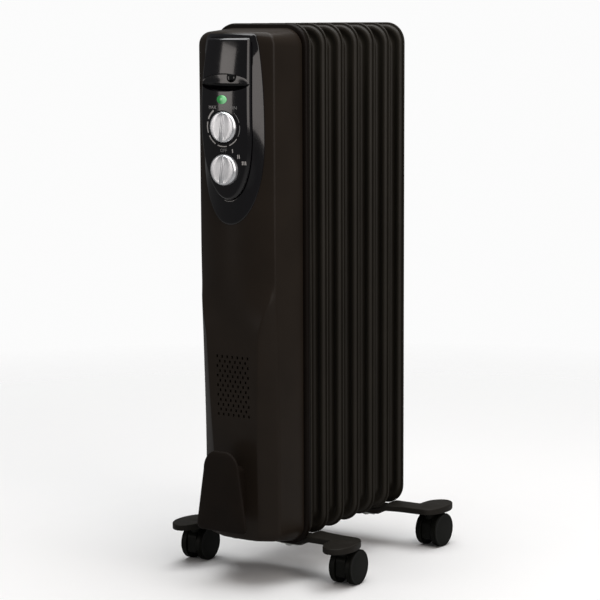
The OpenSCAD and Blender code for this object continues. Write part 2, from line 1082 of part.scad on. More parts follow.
// The body between the wheels: a hood notched along its foot, a swivel plate and the stem
module caster_hood() {
    color(foot_dark)
        difference() {
            union() {
                translate([0, trail, wheel_r])
                    along_x(hood_r, -hood_half_w, hood_half_w);
                translate([0, 0, plate_top - plate_t])
                    cylinder(r = plate_r, h = plate_t);
                translate([0, 0, wheel_r])
                    cylinder(r = hood_half_w, h = plate_top - wheel_r);
                translate([0, 0, plate_top - plate_t])
                    cylinder(r = stem_r, h = stem_top - plate_top + plate_t);
            }
            translate([-hood_half_w - 1, trail - wheel_r, 0])
                cube([2 * hood_half_w + 2, wheel_d, hood_foot]);
            translate([-notch_w / 2, trail - wheel_r, 0])
                cube([notch_w, wheel_d, notch_top]);
            translate([0, trail, wheel_r])
                along_x(axle_r, -caster_w, caster_w);
        }
}

module caster_axle() {
    axle_half = caster_w / 2 - wheel_skin - 0.4;
    color(steel)
        translate([0, trail, wheel_r])
            along_x(axle_r, -axle_half, axle_half);
}

// A wheel on the side s = -1 or 1: a tread with a bevelled outer edge, closed on the outside
module caster_wheel(s) {
    inner = hood_half_w + wheel_gap;
    outer = caster_w / 2;
    bevel = 0.8;
    color(foot_dark)
        translate([0, trail, wheel_r])
            mirror([s < 0 ? 1 : 0, 0, 0])
                difference() {
                    union() {
                        along_x(wheel_r, inner, outer - bevel);
                        translate([outer - bevel, 0, 0])
                            rotate([0, 90, 0])
                                cylinder(r1 = wheel_r, r2 = wheel_r - bevel, h = bevel);
                    }
                    along_x(axle_r + fit, inner - 1, outer - wheel_skin);
                    translate([inner - 1, 0, 0])
                        rotate([0, 90, 0])
                            difference() {
                                cylinder(r = wheel_r - 3, h = 4);
                                cylinder(r = axle_r + 2.5, h = 4);
                            }
                }
}

for (i = [1:fins])
    fin(i);
collars(1);  // upper_collars
collars(-1);  // lower_collars
rear_end_caps();
filler_plug();
heating_element();
element_flange();
element_terminals();
thermal_cutout();
heat_shield();
housing_frame();
front_cover();
cover_screws();
panel_surround();
fascia();
indicator_lens();
indicator_lamp();
thermostat_knob();
power_knob();
thermostat_shaft();
switch_shaft();
thermostat_body();
switch_body();
shaft_nuts();
control_bracket();
terminal_block();
wiring();
cord_wrap();
cord_gland();
front_foot_bar();
rear_foot_bar();
clamp(front_bar_y);  // front_clamp
clamp(rear_bar_y);  // rear_clamp
wing_nuts(front_bar_y);  // front_wing_nuts
wing_nuts(rear_bar_y);  // rear_wing_nuts
for (k = [0:3]) {
    name = str("caster_", caster_tags[k]);
    at_caster(k) caster_hood();
    at_caster(k) caster_axle();
    at_caster(k) caster_wheel(-1);
    at_caster(k) caster_wheel(1);
}
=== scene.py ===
"""The heater's looks: shells, mouldings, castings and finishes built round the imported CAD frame."""

import json
import math

import bmesh
import bpy
from mathutils import Matrix, Vector


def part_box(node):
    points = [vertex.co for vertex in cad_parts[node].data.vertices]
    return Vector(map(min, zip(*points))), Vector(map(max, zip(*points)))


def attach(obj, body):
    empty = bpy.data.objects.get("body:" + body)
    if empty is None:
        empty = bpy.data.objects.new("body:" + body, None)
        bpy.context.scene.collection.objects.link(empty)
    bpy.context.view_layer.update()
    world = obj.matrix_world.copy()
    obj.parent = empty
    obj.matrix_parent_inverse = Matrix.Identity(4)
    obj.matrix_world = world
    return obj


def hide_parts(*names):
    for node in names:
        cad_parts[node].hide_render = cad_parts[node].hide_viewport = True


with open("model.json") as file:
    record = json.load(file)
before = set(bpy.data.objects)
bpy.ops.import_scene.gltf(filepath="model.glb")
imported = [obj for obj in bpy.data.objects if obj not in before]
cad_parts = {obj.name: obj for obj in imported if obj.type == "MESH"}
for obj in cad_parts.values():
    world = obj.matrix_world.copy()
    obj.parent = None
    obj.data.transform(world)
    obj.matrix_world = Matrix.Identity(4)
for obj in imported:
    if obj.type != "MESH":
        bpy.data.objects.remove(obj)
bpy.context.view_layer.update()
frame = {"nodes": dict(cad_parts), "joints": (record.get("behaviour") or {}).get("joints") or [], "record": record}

MM = 0.001

# ---- Places read from the frame, in millimetres ----


def box_mm(node):
    low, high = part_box(node)
    return [v / MM for v in low], [v / MM for v in high]


def middle_mm(node):
    low, high = box_mm(node)
    return [(a + b) / 2 for a, b in zip(low, high)]


FINS = 7
FIN_LOW, FIN_HIGH = box_mm("fin_2")
FIN_HALF_W = FIN_HIGH[0]
FIN_MID_Z = (FIN_LOW[2] + FIN_HIGH[2]) / 2
FIN_HALF_H = (FIN_HIGH[2] - FIN_LOW[2]) / 2
PITCH = (middle_mm("fin_7")[1] - middle_mm("fin_2")[1]) / (FINS - 2)
FIRST_SEAM = middle_mm("fin_2")[1] - PITCH
JOINTS = {joint["name"]: joint for joint in frame["joints"]}


def at(x, depth, z):
    """A point from its depth in front of the first fin's seam."""
    return (x, FIRST_SEAM - depth, z)


# ---- Small maths ----


def lerp(a, b, t):
    return a + (b - a) * t


def ease(t):
    t = min(max(t, 0.0), 1.0)
    return t * t * (3 - 2 * t)


def spread(a, b, count):
    """count + 1 even values from a to b."""
    return [lerp(a, b, k / count) for k in range(count + 1)]


def rounded_rect(half_w, half_h, radius, steps=10):
    """Points anticlockwise round a rectangle with round corners."""
    corners = [(1, 1, 0), (-1, 1, 90), (-1, -1, 180), (1, -1, 270)]
    points = []
    for sx, sy, start in corners:
        for angle in spread(start, start + 90, steps):
            a = math.radians(angle)
            x = sx * (half_w - radius) + radius * math.cos(a)
            y = sy * (half_h - radius) + radius * math.sin(a)
            points.append((x, y))
    return points


def arc(cx, cy, rx, ry, start, end, steps):
    angles = [math.radians(a) for a in spread(start, end, steps)]
    return [(cx + rx * math.cos(a), cy + ry * math.sin(a)) for a in angles]


def facing(x, depth, z):
    """A matrix at a point of the front, whose local Z runs forward out of it."""
    return Matrix.Translation(at(x, depth, z)) @ Matrix.Rotation(math.radians(90), 4, "X")


def border_cells(rows):
    """(row, column) of each point round the edge of a grid."""
    last, end = len(rows) - 1, len(rows[0]) - 1
    near = [(0, j) for j in range(end + 1)] + [(i, end) for i in range(1, last)]
    return near + [(last, j) for j in range(end, -1, -1)] + [(i, 0) for i in range(last - 1, 0, -1)]


# ---- Mesh building ----


class Shape:
    """Points in millimetres and faces, gathered before they become one mesh."""

    def __init__(self):
        self.points = []
        self.faces = []

    def add(self, points, faces):
        base = len(self.points)
        self.points += [tuple(p) for p in points]
        self.faces += [[base + i for i in face] for face in faces]

    def loft(self, rings, cap_start=True, cap_end=True, loop=False):
        """Joins closed rings of equal length, one after another."""
        count = len(rings[0])
        points = [p for ring in rings for p in ring]
        faces = []
        last = len(rings) if loop else len(rings) - 1
        for i in range(last):
            a, b = i * count, (i + 1) % len(rings) * count
            for j in range(count):
                k = (j + 1) % count
                faces.append([a + j, a + k, b + k, b + j])
        if cap_start and not loop:
            faces.append(list(range(count))[::-1])
        if cap_end and not loop:
            faces.append([(len(rings) - 1) * count + j for j in range(count)])
        self.add(points, faces)

    def lathe(self, profile, place, steps=64):
        """Turns (radius, height) points about the local Z axis of the matrix place."""
        rings = []
        for radius, height in profile:
            ring = [(radius * math.cos(a), radius * math.sin(a), height) for a in turns(steps)]
            rings.append([place @ Vector(p) for p in ring])
        self.loft(rings)

    def sheet(self, rows, skip=()):
        """A grid of points, row by row, without the cells named in skip."""
        count = len(rows[0])
        faces = []
        for i in range(len(rows) - 1):
            for j in range(count - 1):
                if (i, j) not in skip:
                    a = i * count + j
                    faces.append([a, a + 1, a + count + 1, a + count])
        self.add([p for row in rows for p in row], faces)

    def mesh(self, name, sharp_angle=35):
        work = bmesh.new()
        verts = [work.verts.new([c * MM for c in p]) for p in self.points]
        for face in self.faces:
            work.faces.new([verts[i] for i in face])
        bmesh.ops.remove_doubles(work, verts=work.verts, dist=0.004 * MM)
        bmesh.ops.dissolve_degenerate(work, edges=work.edges, dist=0.002 * MM)
        bmesh.ops.recalc_face_normals(work, faces=work.faces)
        mesh = bpy.data.meshes.new(name)
        work.to_mesh(mesh)
        work.free()
        smooth(mesh, sharp_angle)
        return mesh


def turns(steps):
    return [2 * math.pi * k / steps for k in range(steps)]


def smooth(mesh, sharp_angle):
    mesh.shade_smooth()
    mesh.set_sharp_from_angle(angle=math.radians(sharp_angle))


def piece(name, source, finish, body="radiator", replaces=(), sharp_angle=35):
    """Makes a shown piece from a Shape or a mesh, and ties it to its CAD body and nodes."""
    mesh = source.mesh(name, sharp_angle) if isinstance(source, Shape) else source
    obj = bpy.data.objects.new(name, mesh)
    bpy.context.scene.collection.objects.link(obj)
    mesh.materials.clear()
    mesh.materials.append(finish)
    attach(obj, body)
    if replaces:
        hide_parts(*replaces)
    return obj


def apply_modifiers(obj, sharp_angle=35):
    """Puts the result of obj's modifiers into its mesh."""
    graph = bpy.context.evaluated_depsgraph_get()
    made = bpy.data.meshes.new_from_object(obj.evaluated_get(graph))
    obj.modifiers.clear()
    obj.data = made
    smooth(made, sharp_angle)


def cut(obj, shape, sharp_angle=35):
    """Takes a closed Shape away from obj."""
    cutter = bpy.data.objects.new("cutter", shape.mesh("cutter"))
    bpy.context.scene.collection.objects.link(cutter)
    tool = obj.modifiers.new("cut", "BOOLEAN")
    tool.operation = "DIFFERENCE"
    tool.solver = "EXACT"
    tool.object = cutter
    apply_modifiers(obj, sharp_angle)
    bpy.data.objects.remove(cutter)


# ---- Materials ----

FINISHES = {}


def material(name, color, roughness, metallic=0.0, specular=0.5, coat=0.0, coat_roughness=0.05):
    """A new Principled material with the values that are the same all over."""
    made = FINISHES[name] = bpy.data.materials.new(name)
    made.use_nodes = True
    shader = made.node_tree.nodes["Principled BSDF"]
    shader.inputs["Base Color"].default_value = (*color, 1)
    shader.inputs["Roughness"].default_value = roughness
    shader.inputs["Metallic"].default_value = metallic
    shader.inputs["Specular IOR Level"].default_value = specular
    shader.inputs["Coat Weight"].default_value = coat
    shader.inputs["Coat Roughness"].default_value = coat_roughness
    return made


def add_node(made, kind, **values):
    node = made.node_tree.nodes.new(kind)
    for key, value in values.items():
        if hasattr(node, key):
            setattr(node, key, value)
        else:
            node.inputs[key.replace("_", " ")].default_value = value
    return node


def noise(made, grain_mm, detail=3.0, roughness=0.5, stretch=(1, 1, 1)):
    """A noise pattern fixed to the object, whose features are grain_mm across."""
    place = add_node(made, "ShaderNodeTexCoord")
    scale = add_node(made, "ShaderNodeMapping")
    scale.inputs["Scale"].default_value = [s / (grain_mm * MM) for s in stretch]
    pattern = add_node(made, "ShaderNodeTexNoise", Scale=1.0, Detail=detail, Roughness=roughness)
    made.node_tree.links.new(place.outputs["Object"], scale.inputs["Vector"])
    made.node_tree.links.new(scale.outputs["Vector"], pattern.inputs["Vector"])
    return pattern.outputs["Fac"]


def vary_roughness(made, pattern, low, high):
    spread_node = add_node(made, "ShaderNodeMapRange", To_Min=low, To_Max=high)
    made.node_tree.links.new(pattern, spread_node.inputs["Value"])
    shader = made.node_tree.nodes["Principled BSDF"]
    made.node_tree.links.new(spread_node.outputs["Result"], shader.inputs["Roughness"])


def vary_color(made, pattern, dark, light):
    ramp = add_node(made, "ShaderNodeValToRGB")
    ramp.color_ramp.elements[0].position = 0.3
    ramp.color_ramp.elements[0].color = (*dark, 1)
    ramp.color_ramp.elements[1].position = 0.7
    ramp.color_ramp.elements[1].color = (*light, 1)
    made.node_tree.links.new(pattern, ramp.inputs["Fac"])
    shader = made.node_tree.nodes["Principled BSDF"]
    made.node_tree.links.new(ramp.outputs["Color"], shader.inputs["Base Color"])


def add_bump(made, pattern, height_mm, strength=1.0):
    bump = add_node(made, "ShaderNodeBump", Strength=strength, Distance=height_mm * MM)
    made.node_tree.links.new(pattern, bump.inputs["Height"])
    shader = made.node_tree.nodes["Principled BSDF"]
    made.node_tree.links.new(bump.outputs["Normal"], shader.inputs["Normal"])


def shade(color, factor):
    return tuple(c * factor for c in color)


def enamel(name, color, roughness, specular):
    """Baked enamel: slight orange peel, cloudy gloss and a faint drift of colour."""
    made = material(name, color, roughness, specular=specular)
    vary_color(made, noise(made, 60, detail=2), shade(color, 0.9), shade(color, 1.12))
    vary_roughness(made, noise(made, 9, detail=4), roughness - 0.04, roughness + 0.05)
    add_bump(made, noise(made, 1.1, detail=2), 0.006)
    return made


def grained_plastic(name, color, roughness, grain_mm, height_mm, specular=0.4):
    """Moulded plastic with a spark-eroded grain."""
    made = material(name, color, roughness, specular=specular)
    vary_color(made, noise(made, 25, detail=3), shade(color, 0.88), shade(color, 1.15))
    grain = noise(made, grain_mm, detail=5, roughness=0.65)
    vary_roughness(made, grain, roughness - 0.06, roughness + 0.08)
    add_bump(made, grain, height_mm)
    return made


def polished_black(name):
    """High-gloss moulding with faint flow marks and fine handling haze."""
    color = (0.0024, 0.0018, 0.0030)
    made = material(name, color, 0.1, specular=0.5, coat=0.35, coat_roughness=0.04)
    vary_color(made, noise(made, 30, detail=2), shade(color, 0.8), shade(color, 1.3))
    vary_roughness(made, noise(made, 5, detail=5), 0.07, 0.16)
    add_bump(made, noise(made, 14, detail=1), 0.01)
    return made


def satin_silver(name):
    """Metallised plastic with a fine satin lay."""
    color = (0.92, 0.94, 0.97)
    made = material(name, color, 0.24, metallic=0.85, specular=0.5, coat=0.15, coat_roughness=0.2)
    vary_color(made, noise(made, 6, detail=3), shade(color, 0.94), shade(color, 1.05))
    vary_roughness(made, noise(made, 0.5, detail=3, stretch=(1, 1, 0.2)), 0.24, 0.36)
    add_bump(made, noise(made, 0.4, detail=2, stretch=(1, 1, 0.15)), 0.003)
    return made


def bare_metal(name, color, roughness, stretch=(1, 1, 1), grain_mm=0.8):
    made = material(name, color, roughness, metallic=1.0)
    vary_color(made, noise(made, 8, detail=4), shade(color, 0.82), shade(color, 1.08))
    grain = noise(made, grain_mm, detail=4, stretch=stretch)
    vary_roughness(made, grain, roughness - 0.08, roughness + 0.1)
    add_bump(made, grain, 0.006)
    return made


def green_glass(name):
    """A tinted lens, glowing a little, with a painted highlight that makes its colour and glow lighter towards one
    side, and fine lines moulded across it.
    """
    dark, light = (0.03, 0.30, 0.07), (0.30, 0.80, 0.38)
    made = material(name, dark, 0.12, specular=0.6, coat=0.7, coat_roughness=0.03)
    nodes, links = made.node_tree.nodes, made.node_tree.links
    place = add_node(made, "ShaderNodeTexCoord")
    split = add_node(made, "ShaderNodeSeparateXYZ")
    across = add_node(made, "ShaderNodeMapRange", From_Min=-2.2 * MM, From_Max=2.2 * MM)
    links.new(place.outputs["Object"], split.inputs["Vector"])
    links.new(split.outputs["X"], across.inputs["Value"])
    # Painted highlight: the lens's green runs from dark to light across it, in both its colour and its glow.
    green_and_painted_highlight = add_node(made, "ShaderNodeValToRGB")
    green_and_painted_highlight.color_ramp.elements[0].color = (*dark, 1)
    green_and_painted_highlight.color_ramp.elements[1].color = (*light, 1)
    links.new(across.outputs["Result"], green_and_painted_highlight.inputs["Fac"])
    shader = nodes["Principled BSDF"]
    links.new(green_and_painted_highlight.outputs["Color"], shader.inputs["Base Color"])
    links.new(green_and_painted_highlight.outputs["Color"], shader.inputs["Emission Color"])
    shader.inputs["Emission Strength"].default_value = 0.3
    shader.inputs["Transmission Weight"].default_value = 0.15
    vary_roughness(made, noise(made, 2, detail=3), 0.08, 0.16)
    add_bump(made, noise(made, 1.5, detail=1, stretch=(0.3, 1, 1)), 0.05)
    return made


def unglazed(name, color):
    made = material(name, color, 0.6, specular=0.3)
    vary_color(made, noise(made, 7, detail=5), shade(color, 0.92), shade(color, 1.04))
    vary_roughness(made, noise(made, 1.5, detail=4), 0.5, 0.7)
    add_bump(made, noise(made, 0.3, detail=3), 0.01)
    return made


def white_print(name, color):
    """Screen-printed ink, slightly uneven."""
    made = material(name, color, 0.5, specular=0.3)
    vary_color(made, noise(made, 0.5, detail=3), shade(color, 0.88), color)
    vary_roughness(made, noise(made, 0.4, detail=3), 0.42, 0.6)
    add_bump(made, noise(made, 0.2, detail=2), 0.004)
    return made


FIN_PAINT = enamel("fin_paint", (0.0215, 0.0185, 0.0138), 0.40, 0.22)
COVER_PAINT = enamel("cover_paint", (0.0205, 0.0152, 0.0112), 0.32, 0.15)
FRAME_PLASTIC = grained_plastic("frame_plastic", (0.0055, 0.0034, 0.0022), 0.42, 0.4, 0.004, 0.1)
GLOSS_BLACK = polished_black("gloss_black")
WRAP_PLASTIC = grained_plastic("wrap_plastic", (0.0078, 0.0048, 0.0028), 0.62, 0.35, 0.03, 0.14)
FOOT_PLASTIC = grained_plastic("foot_plastic", (0.0170, 0.0152, 0.0125), 0.46, 0.5, 0.010, 0.14)
WHEEL_PLASTIC = grained_plastic("wheel_plastic", (0.0050, 0.0054, 0.0040), 0.42, 0.6, 0.008, 0.12)
KNOB_SILVER = satin_silver("knob_silver")
GREEN_LENS = green_glass("green_lens")
PRINT_BRIGHT = white_print("print_bright", (0.62, 0.60, 0.58))
PRINT_SOFT = white_print("print_soft", (0.42, 0.41, 0.40))
PRINT_DIM = white_print("print_dim", (0.26, 0.26, 0.26))
bare_metal("sheet_steel", (0.55, 0.56, 0.58), 0.34, stretch=(1, 1, 0.1))
bare_metal("element_steel", (0.33, 0.31, 0.29), 0.45)
bare_metal("zinc", (0.56, 0.57, 0.55), 0.36)
bare_metal("brass", (0.66, 0.48, 0.2), 0.3)
grained_plastic("bakelite", (0.03, 0.018, 0.012), 0.35, 2.0, 0.01)
unglazed("ceramic_white", (0.78, 0.75, 0.68))
unglazed("lamp", (0.85, 0.62, 0.42))
grained_plastic("lead_plastic", (0.28, 0.15, 0.06), 0.4, 1.0, 0.01)


def finish_cad_nodes():
    """Every CAD node gets the procedural material named after its slot in the record."""
    slots = {part["node"]: part["material_slot"] for part in frame["record"]["subparts"]}
    for name, obj in frame["nodes"].items():
        obj.data.materials.clear()
        obj.data.materials.append(FINISHES[slots[name]])
        smooth(obj.data, 30)


# ---- Fins ----

FIN_CORNER = 22
CORNER_SHRINK = 0.7
FLANGE_T = 1.2
WEB_T = 5
HUB_R = 24
HUB_T = 10
HUB_Z = 214


def fin_profile():
    """(inset, half thickness) from the fin's edge inwards: hem, bead, broad groove, raised panel."""
    hem = [(0.5, 0.0), (0.1, 0.35), (0.0, 0.75), (0.25, 1.15), (0.8, 1.3), (1.6, 1.2), (2.2, 1.25)]
    bead = [(2.5, 1.8), (3.0, 2.7), (3.7, 3.5), (4.6, 4.0), (5.6, 4.2), (6.7, 4.1)]
    bead += [(7.7, 3.75), (8.7, 3.3)]
    groove = [(9.8, 2.85), (11.0, 2.6), (12.2, 2.65), (13.1, 3.0)]
    ridge = [(13.8, 3.55), (14.4, 4.2), (15.1, 4.65), (16.0, 4.9), (17.2, WEB_T), (20, WEB_T)]
    return hem + bead + groove + ridge


def fin_ring(inset, y):
    corner = FIN_CORNER - CORNER_SHRINK * inset
    outline = rounded_rect(FIN_HALF_W - inset, FIN_HALF_H - inset, corner)
    return [(x, y, FIN_MID_Z + z) for x, z in outline]


def make_fin(number):
    seam = FIRST_SEAM + (number - 1) * PITCH
    half = fin_profile()
    front = [(inset, -min(t, FLANGE_T) if number == 1 else -t) for inset, t in half[1:]]
    shape = Shape()
    shape.loft([fin_ring(inset, seam + y) for inset, y in half[::-1] + front])
    sides = [1] if number == 1 else [-1, 1]
    for side in sides:
        for z in (FIN_MID_Z - HUB_Z, FIN_MID_Z + HUB_Z):
            shape.lathe(hub_profile(), hub_place(seam, z, side))
    piece(f"fin_{number}_pressing", shape, FIN_PAINT, replaces=[f"fin_{number}"])


def hub_profile():
    """The pressed dome round the gallery: a wide foot, a shoulder and a flat seat."""
    foot = [(HUB_R + 1.5, WEB_T - 0.6), (HUB_R + 1.2, WEB_T + 0.05), (HUB_R, WEB_T + 0.5)]
    rise = [(HUB_R - 1.5, HUB_T - 3.2), (HUB_R - 3, HUB_T - 1.4), (HUB_R - 5, HUB_T - 0.35)]
    return foot + rise + [(HUB_R - 7, HUB_T - 0.02), (15, HUB_T - 0.02)]


def hub_place(seam, z, side):
    """A matrix whose local Z runs along the gallery, away from the seam."""
    turn = Matrix.Rotation(math.radians(90 if side < 0 else -90), 4, "X")
    return Matrix.Translation((0, seam, z)) @ turn


def make_end_caps():
    """Domed caps welded over the two galleries of the last fin."""
    last = FIRST_SEAM + (FINS - 1) * PITCH
    shape = Shape()
    profile = [(17, HUB_T - 1), (17, HUB_T + 0.6), (16.4, HUB_T + 1.4), (14.5, HUB_T + 2.2)]
    dome = [(11, HUB_T + 2.7), (6, HUB_T + 2.95), (1, HUB_T + 3)]
    weld = [(19.4, HUB_T - 0.6), (19.2, HUB_T + 0.3), (18.2, HUB_T + 0.8), (17.0, HUB_T + 0.9)]
    for z in (FIN_MID_Z - HUB_Z, FIN_MID_Z + HUB_Z):
        place = hub_place(last, z, 1)
        shape.lathe(profile + dome, place)
        shape.lathe(weld + [(16.5, HUB_T - 0.6)], place)
    piece("gallery_end_caps", shape, FIN_PAINT, replaces=["rear_end_caps"])


# ---- Frame and cover ----

FRAME_LOW, FRAME_HIGH = box_mm("housing_frame")
FRAME_BACK = FIRST_SEAM - FRAME_HIGH[1]
FRAME_FRONT = FIRST_SEAM - FRAME_LOW[1]
FRAME_CORNER = 24
FRAME_HOLE = 9

COVER_LOW, COVER_HIGH = box_mm("front_cover")
REAR_HALF_W = COVER_HIGH[0]
REAR_FOOT, REAR_TOP = COVER_LOW[2], COVER_HIGH[2]
REAR_CORNER = 20
CROWN = FIRST_SEAM - COVER_LOW[1]
CROWN_R = 89
EDGE_HALF = 46.3
EDGE_DEPTH = 50.5
FRONT_TOP, FRONT_FOOT = REAR_TOP - 3, REAR_FOOT + 7
TOP_CORNER, FOOT_CORNER = 14, 12
COVER_WALL = 2.2
SIDE_BOW = 0.5
EDGE_ROUND, EDGE_FALL = 1.7, 0.7
TOP_ROLL, TOP_ROLL_FALL = 10, 5
FOOT_ROLL, FOOT_ROLL_FALL = 14, 6
# Edge and crown both draw back towards the foot: how far, from which height, over how much
EDGE_DRAW, EDGE_DRAW_TOP, EDGE_DRAW_H = 5.5, 370, 235
CROWN_DRAW, CROWN_DRAW_TOP, CROWN_DRAW_H = 7, 300, 238
# The lower front is a flat panel between two creases, which flare out over the waist
PANEL_START, PANEL_BLEND = 322, 58
PANEL_BOW, FOOT_BOW, FOOT_BOW_TOP, FOOT_BOW_H = 0.3, 1.4, 200, 80
CREASE_TOP_HALF, WAIST_HALF, CREASE_FOOT_HALF = 42, 31.5, 25
WAIST_Z, WAIST_FLARE, CREASE_FOOT_Z = 262, 40, 60
SWEEP, CHEEK_SWEEP = 1.3, 1.12
VENT_PITCH_X, VENT_PITCH_Z = 6.27, 5.05
VENT_ROWS, VENT_COLS = 13, 7
VENT_MID_Z = 211
VENT_HALF_W, VENT_HALF_H = 1.0, 1.5


def make_frame():
    """The moulded band between the first fin and the cover."""
    mid_z = (FRAME_LOW[2] + FRAME_HIGH[2]) / 2
    half_w, half_h = FRAME_HIGH[0], (FRAME_HIGH[2] - FRAME_LOW[2]) / 2
    profile = [(FRAME_HOLE, FRAME_BACK), (1.2, FRAME_BACK), (0.4, FRAME_BACK + 0.3)]
    profile += [(0, FRAME_BACK + 1.2), (0, FRAME_FRONT - 3.4), (0.3, FRAME_FRONT - 2.1)]
    profile += [(1.1, FRAME_FRONT - 1.0), (2.2, FRAME_FRONT - 0.35), (3.4, FRAME_FRONT)]
    profile += [(FRAME_HOLE, FRAME_FRONT)]
    rings = []
    for inset, depth in profile:
        outline = rounded_rect(half_w - inset, half_h - inset, FRAME_CORNER - inset)
        rings.append([at(x, depth, mid_z + z) for x, z in outline])
    shape = Shape()
    shape.loft(rings, loop=True)
    piece("frame_band", shape, FRAME_PLASTIC, replaces=["housing_frame"])


def arc_drop(x):
    """How far the crown falls back at x."""
    return CROWN_R - math.sqrt(CROWN_R**2 - x * x)


def edge_depth(z):
    return EDGE_DEPTH - EDGE_DRAW * ease((EDGE_DRAW_TOP - z) / EDGE_DRAW_H)


def crown_depth(z):
    lean_back = max(0.0, min(1.0, (CROWN_DRAW_TOP - z) / CROWN_DRAW_H))
    return CROWN - CROWN_DRAW * lean_back**SWEEP


def crease_half(z):
    """Half width of the flat lower panel, which narrows towards the foot."""
    if z > WAIST_Z:
        flare = ((z - WAIST_Z) / WAIST_FLARE) ** SWEEP
        return min(CREASE_TOP_HALF, WAIST_HALF + (CREASE_TOP_HALF - WAIST_HALF) * flare)
    rise = max(0.0, (z - CREASE_FOOT_Z) / (WAIST_Z - CREASE_FOOT_Z)) ** SWEEP
    return CREASE_FOOT_HALF + (WAIST_HALF - CREASE_FOOT_HALF) * rise


def quarter_round(t):
    """How far a quarter-round of radius 1 has fallen after t."""
    return 1 - math.sqrt(max(0.0, 1 - t**2))


def cover_depth(x, z):
    """Depth of the cover's front surface in front of the first seam."""
    x = abs(x)
    edge_round = EDGE_ROUND * max(0.0, (x - EDGE_HALF) / EDGE_ROUND + 1) ** 2
    crown, crease, edge = crown_depth(z), crease_half(z), edge_depth(z)
    arched = CROWN - arc_drop(x) * (CROWN - edge) / arc_drop(EDGE_HALF)
    bow = PANEL_BOW + FOOT_BOW * ease((FOOT_BOW_TOP - z) / FOOT_BOW_H)
    flat = crown - bow * min(1, (x / crease)) ** 2
    if x > crease:
        t = (x - crease) / (EDGE_HALF - crease)
        flat = lerp(flat, edge, t**CHEEK_SWEEP)
    depth = lerp(arched, flat, ease((PANEL_START - z) / PANEL_BLEND))
    side = 1 - 0.5 * (x / EDGE_HALF) ** 2
    depth -= TOP_ROLL_FALL * side * quarter_round(max(0.0, z - (FRONT_TOP - TOP_ROLL)) / TOP_ROLL)
    depth -= FOOT_ROLL_FALL * side * quarter_round(max(0.0, (FRONT_FOOT + FOOT_ROLL) - z) / FOOT_ROLL)
    return depth - EDGE_FALL * edge_round


def corner_rows(angles, front_z, front_r, rear_z):
    """Rows round the corners whose centres stand at front_z on the front and rear_z at the frame."""
    rows = []
    for a in [math.radians(t) for t in angles]:
        rise, draw = math.sin(a), 1 - math.cos(a)
        front = (front_z + front_r * rise, EDGE_HALF - front_r * draw)
        rows.append((*front, rear_z + REAR_CORNER * rise, REAR_HALF_W - REAR_CORNER * draw))
    return rows


def cover_rows():
    """(front z, front half width, rear z, rear half width) for each row of the cover."""
    front_low, front_high = FRONT_FOOT + FOOT_CORNER, FRONT_TOP - TOP_CORNER
    rear_low, rear_high = REAR_FOOT + REAR_CORNER, REAR_TOP - REAR_CORNER
    rows = corner_rows(spread(-90, -9, 9), front_low, FOOT_CORNER, rear_low)
    vents = [z + s * VENT_HALF_H for z in vent_row_heights() for s in (-1, 1)]
    low = spread(front_low, vents[0] - 6, 12)
    high = spread(vents[-1] + 6, 330, 14)
    upper = spread(345, front_high, 15)
    for z in low + vents + high + upper:
        t = (z - front_low) / (front_high - front_low)
        rows.append((z, EDGE_HALF, lerp(rear_low, rear_high, t), REAR_HALF_W))
    return rows + corner_rows(spread(9, 90, 9), front_high, TOP_CORNER, rear_high)


def vent_row_heights():
    half = (VENT_ROWS - 1) / 2
    return [VENT_MID_Z + (row - half) * VENT_PITCH_Z for row in range(VENT_ROWS)]


def cover_columns(z):
    """Places across the cover at height z: vent edges, creases, and the crisp side edges."""
    half_step = VENT_PITCH_X / 2
    steps = range(-(VENT_COLS - 1), VENT_COLS)
    vents = [k * half_step + s * VENT_HALF_W for k in steps for s in (-1, 1)]
    crease = crease_half(z)
    side = [lerp(vents[-1], crease - 1, t) for t in (0.4, 0.8)]
    side += [crease - 1, crease, crease + 1.2]
    side += [lerp(crease + 1.2, EDGE_HALF - 1.2, t) for t in (0.2, 0.45, 0.7, 0.88, 1.0)]
    side += [EDGE_HALF - 0.5, EDGE_HALF]
    return [-x for x in side[::-1]] + vents + side


def vent_cells(rows):
    """(row, column) cells of the front grid that are open."""
    heights = [row[0] for row in rows]
    vent_columns = 2 * (2 * VENT_COLS - 1)
    side_count = (len(cover_columns(VENT_MID_Z)) - vent_columns) // 2
    cells = set()
    for index, z in enumerate(vent_row_heights()):
        row = min(range(len(heights)), key=lambda i: abs(heights[i] - (z - VENT_HALF_H)))
        for k in range(-(VENT_COLS - 1), VENT_COLS):
            if (k + index) % 2 == 0:
                cells.add((row, side_count + 2 * (k + VENT_COLS - 1)))
    return cells


def make_cover():
    """The control housing's pressed shell: crowned front, crisp edges, flat sides and round top."""
    rows = cover_rows()
    grid = []
    for z, half_w, _, _ in rows:
        row = [x * half_w / EDGE_HALF for x in cover_columns(z)]
        grid.append([at(x, cover_depth(x * EDGE_HALF / half_w, z), z) for x in row])
    shape = Shape()
    shape.sheet(grid, skip=vent_cells(rows))
    rings = []
    for t in (0.0, 0.02, 0.05, 0.2, 0.4, 0.6, 0.8, 0.96, 1.0):
        rings.append([cover_side_point(grid, rows, i, j, t) for i, j in border_cells(grid)])
    shape.loft(rings, cap_start=False, cap_end=False)
    obj = piece(
        "cover_shell", shape, COVER_PAINT,
        replaces=["front_cover"], sharp_angle=50,
    )
    wall = obj.modifiers.new("wall", "SOLIDIFY")
    wall.thickness = COVER_WALL * MM
    wall.offset = -1
    apply_modifiers(obj, 50)


def cover_side_point(grid, rows, i, j, t):
    """A point of the side wall, t of the way from the front edge back to the frame."""
    x, y, z = grid[i][j]
    _, half_front, rear_z, half_rear = rows[i]
    rear = at(x / half_front * half_rear, FRAME_FRONT, rear_z)
    bow = SIDE_BOW * math.sin(math.pi * t)
    point = [lerp(a, b, t) for a, b in zip((x, y, z), rear)]
    if 0 < i < len(rows) - 1:
        point[0] += math.copysign(bow, x)
    return tuple(point)


# ---- Control panel ----

